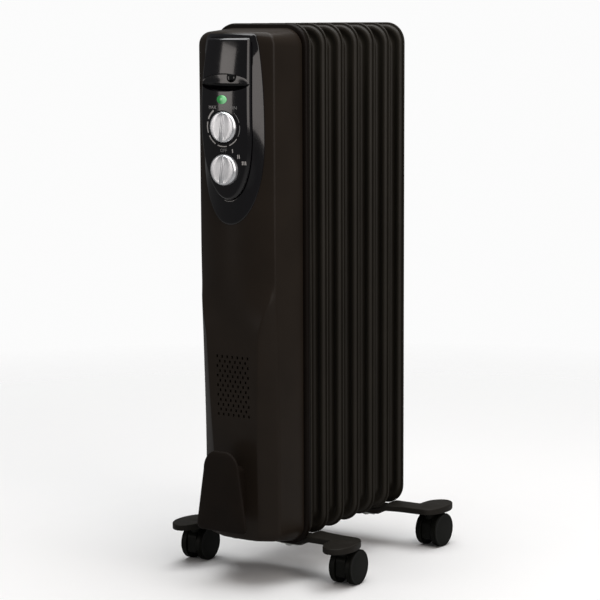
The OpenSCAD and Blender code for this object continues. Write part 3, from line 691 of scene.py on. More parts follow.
PANEL_TOP = 570
SURROUND = {"half": 37.2, "top_half": 30.5, "top": PANEL_TOP, "foot": 378}
FASCIA = {"half": 29.6, "top_half": 25.6, "top": 566, "foot": 403}
PANEL_GAP = 0.5
WIDEST = 0.55
SHIELD_POWER = 2.15
LIP_ACROSS, LIP_RISE = 0.035, 0.8
RIDGE_ACROSS = 0.955
FACE_CROWN, FACE_CROWN_Z = 75.8, 490
FACE_ACROSS_R = 118
FACE_BEND, FACE_EASE, FACE_EASE_H = 0.0014, 0.6, 100
FACET_W, FACET_DROP, WALL_W = 2.2, 1.8, 0.35
RIDGE_DROP, RIDGE_LEAST = 4.8, 2.0
WELL_R = 16.6
WELL_FLOOR = 70.7
KNOB_BASE = FIRST_SEAM - box_mm("thermostat_knob")[1][1]
KNOB_FRONT = FIRST_SEAM - box_mm("thermostat_knob")[0][1]
DIAL_Z = middle_mm("thermostat_knob")[2]
SWITCH_Z = middle_mm("power_knob")[2]
LENS_Z = middle_mm("indicator_lens")[2] + 0.6
LENS_X = -0.7
LENS_FIT = 0.92
SCOOP_Z, SCOOP_UP, SCOOP_DOWN = 520.5, 10.5, 8


def shield_half(form, z):
    """Half width of a shield outline at height z."""
    widest_z = form["top"] - WIDEST * (form["top"] - form["foot"])
    if z >= widest_z:
        t = (form["top"] - z) / (form["top"] - widest_z)
        return lerp(form["top_half"], form["half"], 1 - (1 - t) ** 2.5)
    t = min(1.0, (widest_z - z) / (widest_z - form["foot"]))
    return form["half"] * (1 - t**SHIELD_POWER) ** (1 / SHIELD_POWER)


def shield_heights(form):
    """Heights from top to foot, closer together towards the foot."""
    widest_z = form["top"] - WIDEST * (form["top"] - form["foot"])
    upper = spread(form["top"], widest_z, 18)[:-1]
    drop = widest_z - form["foot"]
    lower = [widest_z - drop * math.sin(math.radians(a)) for a in spread(0, 90, 26)]
    return upper + lower


def shield_outline(form, corner=5.0):
    """Points round a shield outline, with its two top corners rounded."""
    heights = shield_heights(form)
    right = [(shield_half(form, z), z) for z in heights[1:-1]]
    right = [(x, z) for x, z in right if z < form["top"] - corner]
    turn = arc(form["top_half"] - corner, form["top"] - corner, corner, corner, 90, 5, 6)
    top = [(x, form["top"]) for x in spread(0, form["top_half"] - corner, 5)[:-1]]
    side = top + turn + right
    left = [(-x, z) for x, z in side[1:]][::-1]
    return side + [(0, form["foot"])] + left


def face_depth(x, z):
    """Depth of the fascia's face without its edges: crowned both ways, falling less steeply below."""
    dz = z - FACE_CROWN_Z
    drop = FACE_BEND * dz**2
    if dz < 0:
        drop /= 1 + FACE_EASE * (dz / FACE_EASE_H) ** 2
    return FACE_CROWN - drop - (FACE_ACROSS_R - math.sqrt(FACE_ACROSS_R**2 - x * x))


def ridge_rise(x, z):
    """Height over the cover of the surround's inner ridge, a step below the fascia's face."""
    return max(RIDGE_LEAST, face_depth(x, z) - RIDGE_DROP - cover_depth(x, z))


def make_surround():
    """The glossy outer ring of the control panel, from the cover up to the ridge round the fascia."""
    outer = shield_outline(SURROUND, 6.0)
    wider = {key: FASCIA[key] + PANEL_GAP for key in ("half", "top_half", "top")}
    inner = shield_outline(dict(wider, foot=FASCIA["foot"] - PANEL_GAP), 5.0)
    steps = [(0.0, -1.5), (0.0, 0.3), (0.012, 0.6), (LIP_ACROSS, LIP_RISE)]
    rings = []
    for across, lift in steps:
        rings.append([panel_point(o, i, across, lift) for o, i in zip(outer, inner)])
    for across in (0.1, 0.22, 0.36, 0.5, 0.64, 0.78, 0.88, RIDGE_ACROSS):
        rings.append([panel_point(o, i, across, None) for o, i in zip(outer, inner)])
    for across, drop in ((0.985, 0.03), (1.0, 0.35), (1.0, 6.0)):
        rings.append([ridge_point(o, i, across, drop) for o, i in zip(outer, inner)])
    rings.append([panel_point(o, i, 0.9, -1.5) for o, i in zip(outer, inner)])
    shape = Shape()
    shape.loft(rings, loop=True)
    piece(
        "panel_bezel", shape, GLOSS_BLACK,
        replaces=["panel_surround"], sharp_angle=40,
    )


def panel_point(outer, inner, across, lift):
    """A point of the surround's face, at a lift from the cover or, without one, on the climb."""
    x, z = lerp(outer[0], inner[0], across), lerp(outer[1], inner[1], across)
    base = cover_depth(x, z)
    if lift is None:
        climb = (across - LIP_ACROSS) / (RIDGE_ACROSS - LIP_ACROSS)
        lift = lerp(LIP_RISE, ridge_rise(x, z), climb)
    return at(x, base + lift, z)


def ridge_point(outer, inner, across, drop):
    x, z = lerp(outer[0], inner[0], across), lerp(outer[1], inner[1], across)
    return at(x, cover_depth(x, z) + ridge_rise(x, z) - drop, z)


def fascia_margin(x, z):
    """Distance from a point of the fascia in to its outline."""
    form = FASCIA
    widest_z = form["top"] - WIDEST * (form["top"] - form["foot"])
    side = shield_half(form, z) - abs(x)
    if z < widest_z:
        a, b = form["half"], widest_z - form["foot"]
        u, v = abs(x) / a, (widest_z - z) / b
        rho = max(1e-6, (u**SHIELD_POWER + v**SHIELD_POWER) ** (1 / SHIELD_POWER))
        slope_x = u ** (SHIELD_POWER - 1) / rho ** (SHIELD_POWER - 1) / a
        slope_z = v ** (SHIELD_POWER - 1) / rho ** (SHIELD_POWER - 1) / b
        side = (1 - rho) / max(1e-6, math.hypot(slope_x, slope_z))
    return max(0.0, min(side, form["top"] - z))


def fascia_depth(x, z):
    """Depth of the fascia, with a sloping facet and a short upright wall along its outline."""
    edge = cover_depth(x, z) + ridge_rise(x, z) - 0.2
    face = face_depth(x, z)
    margin = fascia_margin(x, z)
    shoulder = max(edge, face - FACET_DROP)
    if margin < WALL_W:
        return lerp(edge, shoulder, margin / WALL_W)
    rise = min(1.0, (margin - WALL_W) / (FACET_W - WALL_W))
    return lerp(shoulder, face, 1.1 * rise - 0.1 * rise**2 if rise < 1 else 1.0)


def make_fascia():
    """The inner panel: a facet round a gently crowned face, dial wells and the finger scoop."""
    heights = shield_heights(FASCIA)
    dense_top = [FASCIA["top"] - d for d in (0, 0.35, 0.8, 1.4, 2.0, 2.2, 3.2, 5)]
    foot_steps = (7, 5.5, 4.2, 3.2, 2.5, 2.2, 2.0, 1.5, 1.0, 0.6, 0.35, 0.08)
    dense_foot = [FASCIA["foot"] + d for d in foot_steps]
    middle = [z for z in heights if FASCIA["foot"] + 8 < z < FASCIA["top"] - 6]
    edge = [1.0, 0.988, 0.97, 0.95, 0.93, 0.924, 0.905, 0.86, 0.79]
    across = [-s for s in edge] + spread(-0.7, 0.7, 20) + edge[::-1]
    rows = []
    for z in dense_top + middle + dense_foot:
        half = shield_half(FASCIA, z)
        if z > FASCIA["top"] - 4:
            half -= 4 - math.sqrt(16 - (z - FASCIA["top"] + 4) ** 2)
        rows.append([at(s * half, fascia_depth(s * half, z), z) for s in across])
    shape = Shape()
    shape.sheet(rows)
    border = [rows[i][j] for i, j in border_cells(rows)]
    back = [at(x, FIRST_SEAM - y - 5, z) for x, y, z in border]
    flat_back = [at(x, CROWN - 14, z) for x, _, z in border]
    shape.loft([border, back, flat_back], cap_start=False)
    obj = piece(
        "control_fascia", shape, GLOSS_BLACK,
        replaces=["fascia"], sharp_angle=40,
    )
    for hollow in (well_shape(DIAL_Z), well_shape(SWITCH_Z), scoop_shape(), dimple_shape()):
        cut(obj, hollow, 40)


def well_shape(centre_z):
    """The space of the round well that a knob stands in, with a small round at its floor."""
    shape = Shape()
    floor = [(0.05, 0), (WELL_R - 0.5, 0), (WELL_R - 0.15, 0.15), (WELL_R, 0.5)]
    shape.lathe(floor + [(WELL_R, 9), (0.05, 9)], facing(0, WELL_FLOOR, centre_z), 96)
    return shape


def scoop_shape():
    """The space of the finger scoop: a sloping shelf above, and a deeper pocket under its front edge."""
    half = FASCIA["half"] - 0.6
    rings = []
    for a in [math.radians(t) for t in spread(-89, 89, 36)]:
        x = half * math.sin(a)
        k = math.cos(a)
        face = face_depth(x, SCOOP_Z)
        top, foot = SCOOP_Z + SCOOP_UP * k, SCOOP_Z - SCOOP_DOWN * k
        shelf = [(3, top), (0.3, top), (-2.9 * k, top - 0.7 * k), (-3.1 * k, top - 1.6 * k)]
        shelf += [(-2.2 * k, SCOOP_Z + 4 * k), (-1.5 * k, SCOOP_Z + 0.4 * k), (-1.9 * k, SCOOP_Z)]
        pocket = [(-8.6 * k, SCOOP_Z - 0.5 * k), (-9.0 * k, SCOOP_Z - 2.5 * k)]
        pocket += [(-7.5 * k, SCOOP_Z - 5.2 * k), (-4.0 * k, SCOOP_Z - 7.1 * k)]
        section = shelf + pocket + [(0.3, foot), (3, foot)]
        rings.append([at(x, face + d, z) for d, z in section])
    shape = Shape()
    shape.loft(rings)
    return shape


def dimple_shape():
    """A small half-round pocket under the scoop's top edge."""
    shape = Shape()
    centre_x, centre_z, radius = 8.5, 527.2, 5.6
    place = facing(centre_x, face_depth(centre_x, centre_z), centre_z)
    profile = [(0.05, -6.5), (2.2, -6.3), (4.0, -5.4), (radius, -3.6), (radius, -0.9)]
    shape.lathe(profile + [(radius - 1.2, -0.75), (0.05, -0.7)], place, 40)
    return shape


def make_lens():
    """The oval dome over the indicator, with shallow ripples moulded round it."""
    low, high = box_mm("indicator_lens")
    half_w, half_h = LENS_FIT * (high[0] - low[0]) / 2, LENS_FIT * (high[2] - low[2]) / 2
    base = face_depth(0, LENS_Z)
    rise = min(3.0, FIRST_SEAM - low[1] - base)
    rings = [lens_ring(half_w, half_h, 1.0, base - 4), lens_ring(half_w, half_h, 1.0, base + 0.4)]
    for k in range(1, 12):
        a = math.radians(90 * k / 12)
        scale = math.cos(a)
        ripple = 0.22 * math.cos(4 * a) * math.sin(2 * a)
        rings.append(lens_ring(half_w, half_h, scale, base + 0.4 + (rise - 0.6) * math.sin(a) + ripple))
    rings.append(lens_ring(half_w, half_h, 0.03, base + rise - 0.2))
    shape = Shape()
    shape.loft(rings)
    piece("lens_dome", shape, GREEN_LENS, replaces=["indicator_lens"], sharp_angle=50)


def lens_ring(half_w, half_h, scale, depth):
    ring = [(half_w * scale * math.cos(a), half_h * scale * math.sin(a)) for a in turns(48)]
    return [at(LENS_X + x, depth, LENS_Z + z) for x, z in ring]


# ---- Knobs ----

KNOB_R = 15.7
FACE_R = 13.9
RIM_H = 4.3
DOME_H = 6.95
DOME_DROP = 0.45
SCOOP_DROP = 0.85
DISH_REACH = 0.84
BLADE_TOP, BLADE_FOOT = 0.7, 1.5
BLADE_ROUND, BLADE_WALL = 0.15, 1.3
BLADE_LEAN = math.radians(7)
CREST_FALL, CREST_POWER = 1.2, 3.5


def knob_height(x, z):
    """Height of the knob's face over its base: a dome with a blade between two leaf-shaped dishes."""
    full = KNOB_FRONT - KNOB_BASE - 0.05
    dome = DOME_H - DOME_DROP * (x * x + z * z) / FACE_R**2
    leaf = leaf_half(z)
    blade = knob_blade(z)
    crest = full - CREST_FALL * (abs(z) / FACE_R) ** CREST_POWER
    if abs(x) <= blade:
        return max(dome, crest - BLADE_ROUND * (x / blade) ** 2)
    if abs(x) < leaf:
        t = (abs(x) - blade) / (leaf - blade)
        fade = max(0.0, 1 - (z / FACE_R) ** 2) ** 0.4
        dome -= SCOOP_DROP * fade * ease(1 - t)
    wall = ease(1 - (abs(x) - blade) / BLADE_WALL)
    return lerp(dome, max(dome, crest - BLADE_ROUND), wall)


def leaf_half(z):
    """Half width at z of the two dishes together."""
    return DISH_REACH * math.sqrt(max(1e-6, FACE_R**2 - z * z))


def knob_blade(z):
    return lerp(BLADE_FOOT, BLADE_TOP, (z + FACE_R) / (2 * FACE_R))


def knob_columns(z, half):
    blade = knob_blade(z)
    leaf = leaf_half(z)
    scale = min(1.0, half / 4.0)
    near = [0, blade * 0.6, blade, blade + 0.35, blade + 0.7, blade + 1.0, blade + BLADE_WALL]
    near = [v * scale for v in near]
    out = [lerp(near[-1], leaf, t) for t in (0.25, 0.5, 0.7, 0.78, 0.84, 0.89, 0.94, 1.0)]
    out += [lerp(leaf, half, t) for t in (0.2, 0.6, 1.0)]
    side = near + out
    return [-v for v in side[:0:-1]] + side


def lean(x, z):
    """Turns a point of the knob's face with its blade."""
    c, s = math.cos(BLADE_LEAN), math.sin(BLADE_LEAN)
    return x * c + z * s, z * c - x * s


def make_knob(name, node, body, centre_z):
    rows = []
    for a in [math.radians(t) for t in spread(-87, 87, 40)]:
        z, half = FACE_R * math.sin(a), FACE_R * math.cos(a)
        row = []
        for x in knob_columns(z, half):
            turned_x, turned_z = lean(x, z)
            row.append(at(turned_x, KNOB_BASE + knob_height(x, z), centre_z + turned_z))
        rows.append(row)
    shape = Shape()
    shape.sheet(rows)
    border = [rows[i][j] for i, j in border_cells(rows)]
    rings = [border]
    rim = DOME_H - DOME_DROP
    skirt = [(FACE_R + 0.5, rim - 0.3), (KNOB_R - 0.5, RIM_H + 0.75), (KNOB_R - 0.12, RIM_H + 0.2)]
    skirt += [(KNOB_R, RIM_H - 0.4), (KNOB_R, 0.6), (KNOB_R - 0.5, 0.1), (KNOB_R - 3, 0.1)]
    for radius, height in skirt:
        ring = []
        for x, _, z in border:
            a = math.atan2(z - centre_z, x)
            ring.append(at(radius * math.cos(a), KNOB_BASE + height, centre_z + radius * math.sin(a)))
        rings.append(ring)
    shape.loft(rings, cap_start=False)
    piece(name, shape, KNOB_SILVER, body=body, replaces=[node], sharp_angle=32)


# ---- Dial print ----

PRINT_LIFT = 0.07
PRINT_SINK = 0.3
BRIGHT_SEGMENTS = 5


def print_block(shape, outline):
    """A thin raised mark on the fascia over a convex outline of (x, z) points."""
    low = [at(x, face_depth(x, z) - PRINT_SINK, z) for x, z in outline]
    high = [at(x, face_depth(x, z) + PRINT_LIFT, z) for x, z in outline]
    shape.loft([low, high])


def make_dial_ring():
    """Arc marks round the thermostat, broad at the hot end and thin at the cool end."""
    radius, segments = 19.6, 7
    bright, dim = Shape(), Shape()
    start, end, gap = 124.0, 416.0, 9.0
    step = (end - start) / segments
    for k in range(segments):
        a0, a1 = start + k * step, start + (k + 1) * step - gap
        for b0, b1 in zip(spread(a0, a1, 8)[:-1], spread(a0, a1, 8)[1:]):
            thick = [lerp(1.7, 0.35, (b - start) / (end - start)) for b in (b0, b1)]
            ring = [(radius - thick[0] / 2, b0), (radius + thick[0] / 2, b0)]
            ring += [(radius + thick[1] / 2, b1), (radius - thick[1] / 2, b1)]
            polar = [(r, math.radians(b)) for r, b in ring]
            points = [(r * math.cos(a), DIAL_Z + r * math.sin(a)) for r, a in polar]
            print_block(bright if k < BRIGHT_SEGMENTS else dim, points)
    piece("dial_marks", bright, PRINT_BRIGHT)
    piece("dial_marks_cool", dim, PRINT_DIM)


def make_switch_marks():
    """One, two and three upright bars at the power dial's steps."""
    shape = Shape()
    bar_half_w, bar_half_h, bar_step = 0.45, 1.9, 1.75
    places = [(10.4, 453.5), (16.7, 447.7), (22.3, 441.3)]
    for count, (x, z) in enumerate(places, start=1):
        for k in range(count):
            cx = x + (k - (count - 1) / 2) * bar_step
            corners = [(-1, -1), (1, -1), (1, 1), (-1, 1)]
            print_block(shape, [(cx + sx * bar_half_w, z + sz * bar_half_h) for sx, sz in corners])
    piece("switch_marks", shape, PRINT_BRIGHT)


def make_words():
    """The plain words of the dials, laid on the fascia."""
    words = [
        ("MAX", -12.7, 496.6, 3.3, PRINT_SOFT),
        ("MIN", 12.6, 496.4, 3.3, PRINT_DIM),
        ("OFF", -0.2, 453.6, 3.4, PRINT_DIM),
    ]
    for word, x, z, height, ink in words:
        curve = bpy.data.curves.new(f"word_{word}", "FONT")
        curve.body = word
        curve.size = height * 1.4 * MM
        curve.align_x = "CENTER"
        curve.align_y = "CENTER"
        curve.extrude = (PRINT_LIFT + PRINT_SINK) / 2 * MM
        holder = bpy.data.objects.new(f"holder_{word}", curve)
        bpy.context.scene.collection.objects.link(holder)
        graph = bpy.context.evaluated_depsgraph_get()
        mesh = bpy.data.meshes.new_from_object(holder.evaluated_get(graph))
        bpy.data.objects.remove(holder)
        for vertex in mesh.vertices:
            local_x, local_z, lift = [c / MM for c in vertex.co]
            depth = face_depth(x + local_x, z + local_z) + lift - (PRINT_SINK - PRINT_LIFT) / 2
            vertex.co = [c * MM for c in at(x + local_x, depth, z + local_z)]
        mesh.update()
        piece(f"word_{word.lower()}", mesh, ink)


# ---- Cord wrap ----

WRAP_LOW, WRAP_HIGH = box_mm("cord_wrap")
WRAP_CROWN = FIRST_SEAM - WRAP_LOW[1]
WRAP_EDGE = WRAP_CROWN - 3.5
WRAP_BACK = WRAP_EDGE - 3.5
WRAP_HALF = WRAP_HIGH[0]
WRAP_FOOT, WRAP_TOP = WRAP_LOW[2], WRAP_HIGH[2]
WRAP_FOOT_R = 6
SHOULDER_X, SHOULDER_RX, SHOULDER_RY = 5.5, 16, 20
WRAP_SWELL, SWELL_POWER = 3.45, 2.4
POST_Z, POST_HALF_H, POST_HALF_W, POST_R = 102, 26, 11, 6


def wrap_outline():
    """A tall rounded plate: broad at the foot, drawn in to round shoulders."""
    r = WRAP_FOOT_R
    foot = arc(WRAP_HALF - r, WRAP_FOOT + r, r, r, -90, 0, 6)
    shoulder = arc(SHOULDER_X, WRAP_TOP - SHOULDER_RY, SHOULDER_RX, SHOULDER_RY, 0, 90, 12)
    (x0, z0), (x1, z1) = foot[-1], shoulder[0]
    side = [(lerp(x0, x1, t), lerp(z0, z1, t)) for t in spread(0.1, 0.9, 8)]
    right = [(0, WRAP_FOOT), (12, WRAP_FOOT)] + foot + side + shoulder + [(0, WRAP_TOP)]
    left = [(-x, z) for x, z in right[-2:0:-1]]
    return right + left


def wrap_ring(outline, inset, depth):
    """The outline moved inwards along its own normals."""
    count = len(outline)
    ring = []
    for k, (x, z) in enumerate(outline):
        x0, z0 = outline[k - 1]
        x1, z1 = outline[(k + 1) % count]
        length = max(1e-6, math.hypot(x1 - x0, z1 - z0))
        ring.append(at(x - inset * (z1 - z0) / length, depth, z + inset * (x1 - x0) / length))
    return ring


def wrap_centre_ring(outline, scale, depth):
    mid_z = (WRAP_FOOT + WRAP_TOP) / 2
    return [at(x * scale, depth, mid_z + (z - mid_z) * scale) for x, z in outline]


def make_wrap():
    """The standing-off plate that the cord is wound behind, on its post."""
    outline = wrap_outline()
    rings = [wrap_ring(outline, 3.0, WRAP_BACK + 0.6), wrap_ring(outline, 1.2, WRAP_BACK)]
    rings += [wrap_ring(outline, 0.3, WRAP_BACK + 0.4), wrap_ring(outline, 0.0, WRAP_BACK + 1.2)]
    rings += [wrap_ring(outline, 0.0, WRAP_EDGE - 1.2), wrap_ring(outline, 0.25, WRAP_EDGE - 0.5)]
    rings += [wrap_ring(outline, 0.9, WRAP_EDGE), wrap_ring(outline, 1.8, WRAP_EDGE + 0.45)]
    for scale in (0.88, 0.8, 0.7, 0.58, 0.45, 0.3, 0.15, 0.03):
        swell = WRAP_SWELL * (1 - scale**SWELL_POWER)
        rings.append(wrap_centre_ring(outline, scale, WRAP_EDGE + swell))
    shape = Shape()
    shape.loft(rings)
    post = []
    for grow, depth in ((0, 50), (0, 62), (0, 72), (0, 79), (0.8, WRAP_BACK + 1)):
        section = rounded_rect(POST_HALF_W + grow, POST_HALF_H + grow, POST_R + grow)
        post.append([at(x, depth, POST_Z + z) for x, z in section])
    shape.loft(post)
    piece("cord_plate", shape, WRAP_PLASTIC, replaces=["cord_wrap"], sharp_angle=45)


# ---- Foot bars ----

BAR_T = 6.5
BAR_TOP = 41.5
PAD_TOP = 46
PAD_X, PAD_OUT, PAD_RX, PAD_RY = 95.5, 22, 16, 25
STEM_X, STEM_OUT = 94.5, 12
STEP_X, STEP_W = 38, 12
BAR_FILLET, BAR_CROWN = 1.2, 0.4
PAD_START, PAD_BLEND, PAD_INNER, NECK_INNER = 80, 18, 9, 9.8
BOSS_RISE, BOSS_R, BOSS_BLEND = 1.2, 13, 7
# (x, outer edge, inner edge) of the bar at the places where its outline turns
BAR_EDGES = [(0, -15.6, 15.6), (42, -15.6, 15.6), (48, -15.6, 15.0), (56, -15.6, 13.2)]
BAR_EDGES += [(64, -15.6, 11.2), (72, -15.7, 10.2), (79, -16.2, NECK_INNER)]
BAR_EDGES += [(PAD_START, -28.2, NECK_INNER)]


def bar_span(x):
    """(outer edge, inner edge) of the bar across Y at distance x from its middle."""
    low = high = 0.0
    for (x0, l0, h0), (x1, l1, h1) in zip(BAR_EDGES[:-1], BAR_EDGES[1:]):
        if x0 <= x <= x1:
            t = (x - x0) / (x1 - x0)
            low, high = lerp(l0, l1, t), lerp(h0, h1, t)
    u = (x - PAD_X) / PAD_RX
    if x > PAD_START:
        low = -PAD_OUT - PAD_RY * math.sqrt(max(0.0, 1 - u * u))
        reach = math.sqrt(max(0.0, 1 - max(0.0, u) ** 2))
        inner = -PAD_OUT + (PAD_OUT + PAD_INNER) * reach
        high = lerp(NECK_INNER, inner, ease((x - PAD_START) / PAD_BLEND))
    return low, high


def bar_stations():
    tip = [PAD_X + PAD_RX * math.sin(math.radians(a)) for a in spread(0, 88, 14)]
    inner = [PAD_X - PAD_RX * math.cos(math.radians(a)) for a in spread(18, 84, 8)]
    return spread(0, 36, 4) + spread(38, 54, 10) + spread(58, 79, 6) + inner + tip


def bar_ring(x):
    """A flat section of the bar at x with upright sides, small round edges and a faint crown."""
    low, high = bar_span(abs(x))
    foot = lerp(BAR_TOP - BAR_T, PAD_TOP - BAR_T, ease((abs(x) - STEP_X - 2) / STEP_W))
    top = lerp(BAR_TOP, PAD_TOP, ease((abs(x) - STEP_X) / STEP_W))
    end = min(1.0, max(0.0, (PAD_X + PAD_RX - abs(x)) / BAR_FILLET))
    top -= BAR_FILLET * (1 - math.sqrt(1 - (1 - end) ** 2))
    mid, half = (low + high) / 2, (high - low) / 2
    radius = min(BAR_FILLET, 0.9 * half)
    section = arc(high - radius, foot + radius, radius, radius, -90, 0, 4)
    section += arc(high - radius, top - radius, radius, radius, 0, 90, 5)
    for t in spread(1, -1, 16)[1:-1]:
        y = mid + t * (half - radius)
        section.append((y, top + BAR_CROWN * (1 - t * t) * end + boss_lift(x, y)))
    section += arc(low + radius, top - radius, radius, radius, 90, 180, 5)
    section += arc(low + radius, foot + radius, radius, radius, 180, 270, 4)
    return [(x, y, z) for y, z in section]


def boss_lift(x, y):
    """The low swelling over each caster's stem."""
    r = math.hypot(abs(x) - STEM_X, y + STEM_OUT)
    return BOSS_RISE * ease((BOSS_R - r) / BOSS_BLEND)


def make_bar(name, node, centre_y, sign):
    stations = bar_stations()
    xs = [-x for x in stations[:0:-1]] + stations
    rings = []
    for x in xs:
        rings.append([(px, centre_y + sign * py, pz) for px, py, pz in bar_ring(x)])
    shape = Shape()
    shape.loft(rings)
    piece(name, shape, FOOT_PLASTIC, replaces=[node], sharp_angle=50)


# ---- Casters ----

WHEEL_R = 18.7
HOOD_HALF = 6.6
HOOD_FOOT, NOTCH_TOP, NOTCH_HALF = 5, 10, 5.5
WHEEL_GAP = 0.12
CASTER_HALF = 13.5
PLATE_TOP = 39.2
STEM_TOP = 46.3


def wheel_profile():
    """(radius, distance out from the caster's middle) round one wheel: tread, groove and domed disc."""
    inner, outer = HOOD_HALF + WHEEL_GAP, CASTER_HALF
    bore = [(2.6, inner), (15.5, inner), (15.7, inner + 0.1)]
    tread = [(18.55, inner + 0.05), (WHEEL_R, inner + 0.2)]
    groove = [(WHEEL_R, outer - 2.2), (18.5, outer - 2.05), (18.0, outer - 2.0), (18.0, outer - 1.7)]
    rim = [(18.5, outer - 1.6), (18.65, outer - 1.3), (18.65, outer - 0.9), (18.4, outer - 0.5)]
    rim += [(17.8, outer - 0.2), (17.2, outer - 0.12), (16.6, outer - 0.3)]
    disc = [(15.8, outer - 0.35), (12, outer - 0.15), (6, outer - 0.03), (0.5, outer)]
    return bore + tread + groove + rim + disc


def wheel_place(joint_name, side):
    """A matrix at the axle whose local Z runs out along it to the wheel's side."""
    joint = JOINTS[joint_name]
    axis = Vector(joint["axis"]).normalized() * side
    turn = axis.to_track_quat("Z", "Y").to_matrix().to_4x4()
    return Matrix.Translation([c / MM for c in joint["pos_m"]]) @ turn


def make_wheel(tag, side_name, side):
    shape = Shape()
    shape.lathe(wheel_profile(), wheel_place(f"spin_{tag}_{side_name}", side), 72)
    piece(
        f"wheel_{tag}_{side_name}_disc", shape, WHEEL_PLASTIC, body=f"wheel_{tag}_{side_name}",
        replaces=[f"caster_{tag}_wheel_{side_name}"], sharp_angle=40,
    )


def hood_section(foot):
    """(along, up) from the axle round the hood's side: a circle cut flat at a height over the floor."""
    radius = WHEEL_R - 0.06
    start = math.degrees(math.asin((HOOD_FOOT - WHEEL_R) / radius))
    cut_z = foot - WHEEL_R
    reach = math.sqrt(radius**2 - cut_z**2)
    points = arc(0, 0, radius, radius, start, 180 - start, 52)
    return [(max(-reach, min(reach, a)), max(cut_z, b)) for a, b in points]


def make_hood(tag):
    """The caster's body between its wheels, with its swivel plate and stem."""
    swivel, spin = JOINTS[f"swivel_{tag}"], JOINTS[f"spin_{tag}_right"]
    across = Vector(spin["axis"]).normalized()
    along = Vector((0, 0, 1)).cross(across)
    centre = Vector([c / MM for c in spin["pos_m"]])
    cheek = [(HOOD_HALF, 0.15, HOOD_FOOT), (HOOD_HALF - 0.15, 0, HOOD_FOOT), (NOTCH_HALF, 0, HOOD_FOOT)]
    half = cheek + [(NOTCH_HALF, 0, NOTCH_TOP)]
    shape = Shape()
    rings = []
    other = [(-out, inset, foot) for out, inset, foot in half]
    for out, inset, foot in other + half[::-1]:
        scale = 1 - inset / WHEEL_R
        flat = [(a * scale, b * scale) for a, b in hood_section(foot)]
        rings.append([centre + across * out + along * a + Vector((0, 0, b)) for a, b in flat])
    shape.loft(rings)
    stem_x, stem_y = [c / MM for c in swivel["pos_m"][:2]]
    place = Matrix.Translation((stem_x, stem_y, 0))
    neck = [(HOOD_HALF, 22), (HOOD_HALF, 35), (7.2, 36.8), (8.6, 37.6), (9.8, 37.9), (10, 38.3)]
    plate = [(10, PLATE_TOP - 0.25), (9.7, PLATE_TOP), (4, PLATE_TOP)]
    stem = [(4, STEM_TOP - 0.5), (3.5, STEM_TOP)]
    shape.lathe(neck + plate + stem, place, 48)
    piece(
        f"caster_{tag}_body", shape, WHEEL_PLASTIC, body=f"caster_{tag}",
        replaces=[f"caster_{tag}_hood"], sharp_angle=40,
    )


# ---- Studio ----

TARGET = Vector((0.01879, -0.02947, 0.290))
DISTANCE = 2.1466
AZIMUTH, ELEVATION, ROLL = 32.617, 7.953, -0.251
LENS_MM = 121.93


def make_camera():
    a, e, r = (math.radians(v) for v in (AZIMUTH, ELEVATION, ROLL))
    back = Vector((math.sin(a) * math.cos(e), -math.cos(a) * math.cos(e), math.sin(e)))
    right = Vector((math.cos(a), math.sin(a), 0))
    up = back.cross(right)
    rolled_right = right * math.cos(r) + up * math.sin(r)
    rolled_up = up * math.cos(r) - right * math.sin(r)
    data = bpy.data.cameras.new("camera")
    data.lens = LENS_MM
    data.sensor_width = 36
    data.clip_end = 100
    camera = bpy.data.objects.new("camera", data)
    bpy.context.scene.collection.objects.link(camera)
    turn = Matrix((rolled_right, rolled_up, back)).transposed().to_4x4()
    camera.matrix_world = Matrix.Translation(TARGET + back * DISTANCE) @ turn
    bpy.context.scene.camera = camera


def make_light(name, place, aim, width, height, power, color=(1, 1, 1)):
    data = bpy.data.lights.new(name, "AREA")
    data.shape = "RECTANGLE"
    data.size = width
    data.size_y = height
    data.energy = power
    data.color = color
    light = bpy.data.objects.new(name, data)
    bpy.context.scene.collection.objects.link(light)
    light.location = place
    light.rotation_mode = "QUATERNION"
    light.rotation_quaternion = (Vector(place) - Vector(aim)).to_track_quat("Z", "Y")


SOFT_WARM = (1.0, 0.93, 0.89)


def make_lights():
    """A broad light overhead, a tall softbox to the camera's right and a small weak one to its left."""
    make_light("overhead", (0.1, 0.1, 2.6), (0, 0, 0), 2.6, 2.6, 80)
    make_light("right_softbox", (2.04, -0.82, 1.6), (0, 0, 1.45), 1.65, 2.7, 27.5, SOFT_WARM)
    make_light("left_softbox", (-1.15, -2.02, 0.78), (0, 0, 0.3), 0.65, 0.9, 4.3, SOFT_WARM)


def make_world():
    """Soft grey light all round, and a pale backdrop that only the camera sees."""
    world = bpy.data.worlds.new("studio")
    bpy.context.scene.world = world
    world.use_nodes = True
    nodes, links = world.node_tree.nodes, world.node_tree.links
    nodes.clear()
    rays = nodes.new("ShaderNodeLightPath")
    mix = nodes.new("ShaderNodeMixShader")
    soft, backdrop = nodes.new("ShaderNodeBackground"), nodes.new("ShaderNodeBackground")
    soft.inputs["Color"].default_value = (1, 1, 1, 1)
    soft.inputs["Strength"].default_value = 0.14
    backdrop.inputs["Color"].default_value = (0.97, 0.97, 0.97, 1)
    backdrop.inputs["Strength"].default_value = 1.0
    out = nodes.new("ShaderNodeOutputWorld")
    links.new(rays.outputs["Is Camera Ray"], mix.inputs["Fac"])
    links.new(soft.outputs["Background"], mix.inputs[1])
    links.new(backdrop.outputs["Background"], mix.inputs[2])
    links.new(mix.outputs["Shader"], out.inputs["Surface"])


FLOOR_R, FLOOR_RINGS = 3.2, 24
FLOOR_TONE, FLOOR_BOUNCE = 0.9, 0.33
FADE_START, FADE_END = 0.35, 1.5


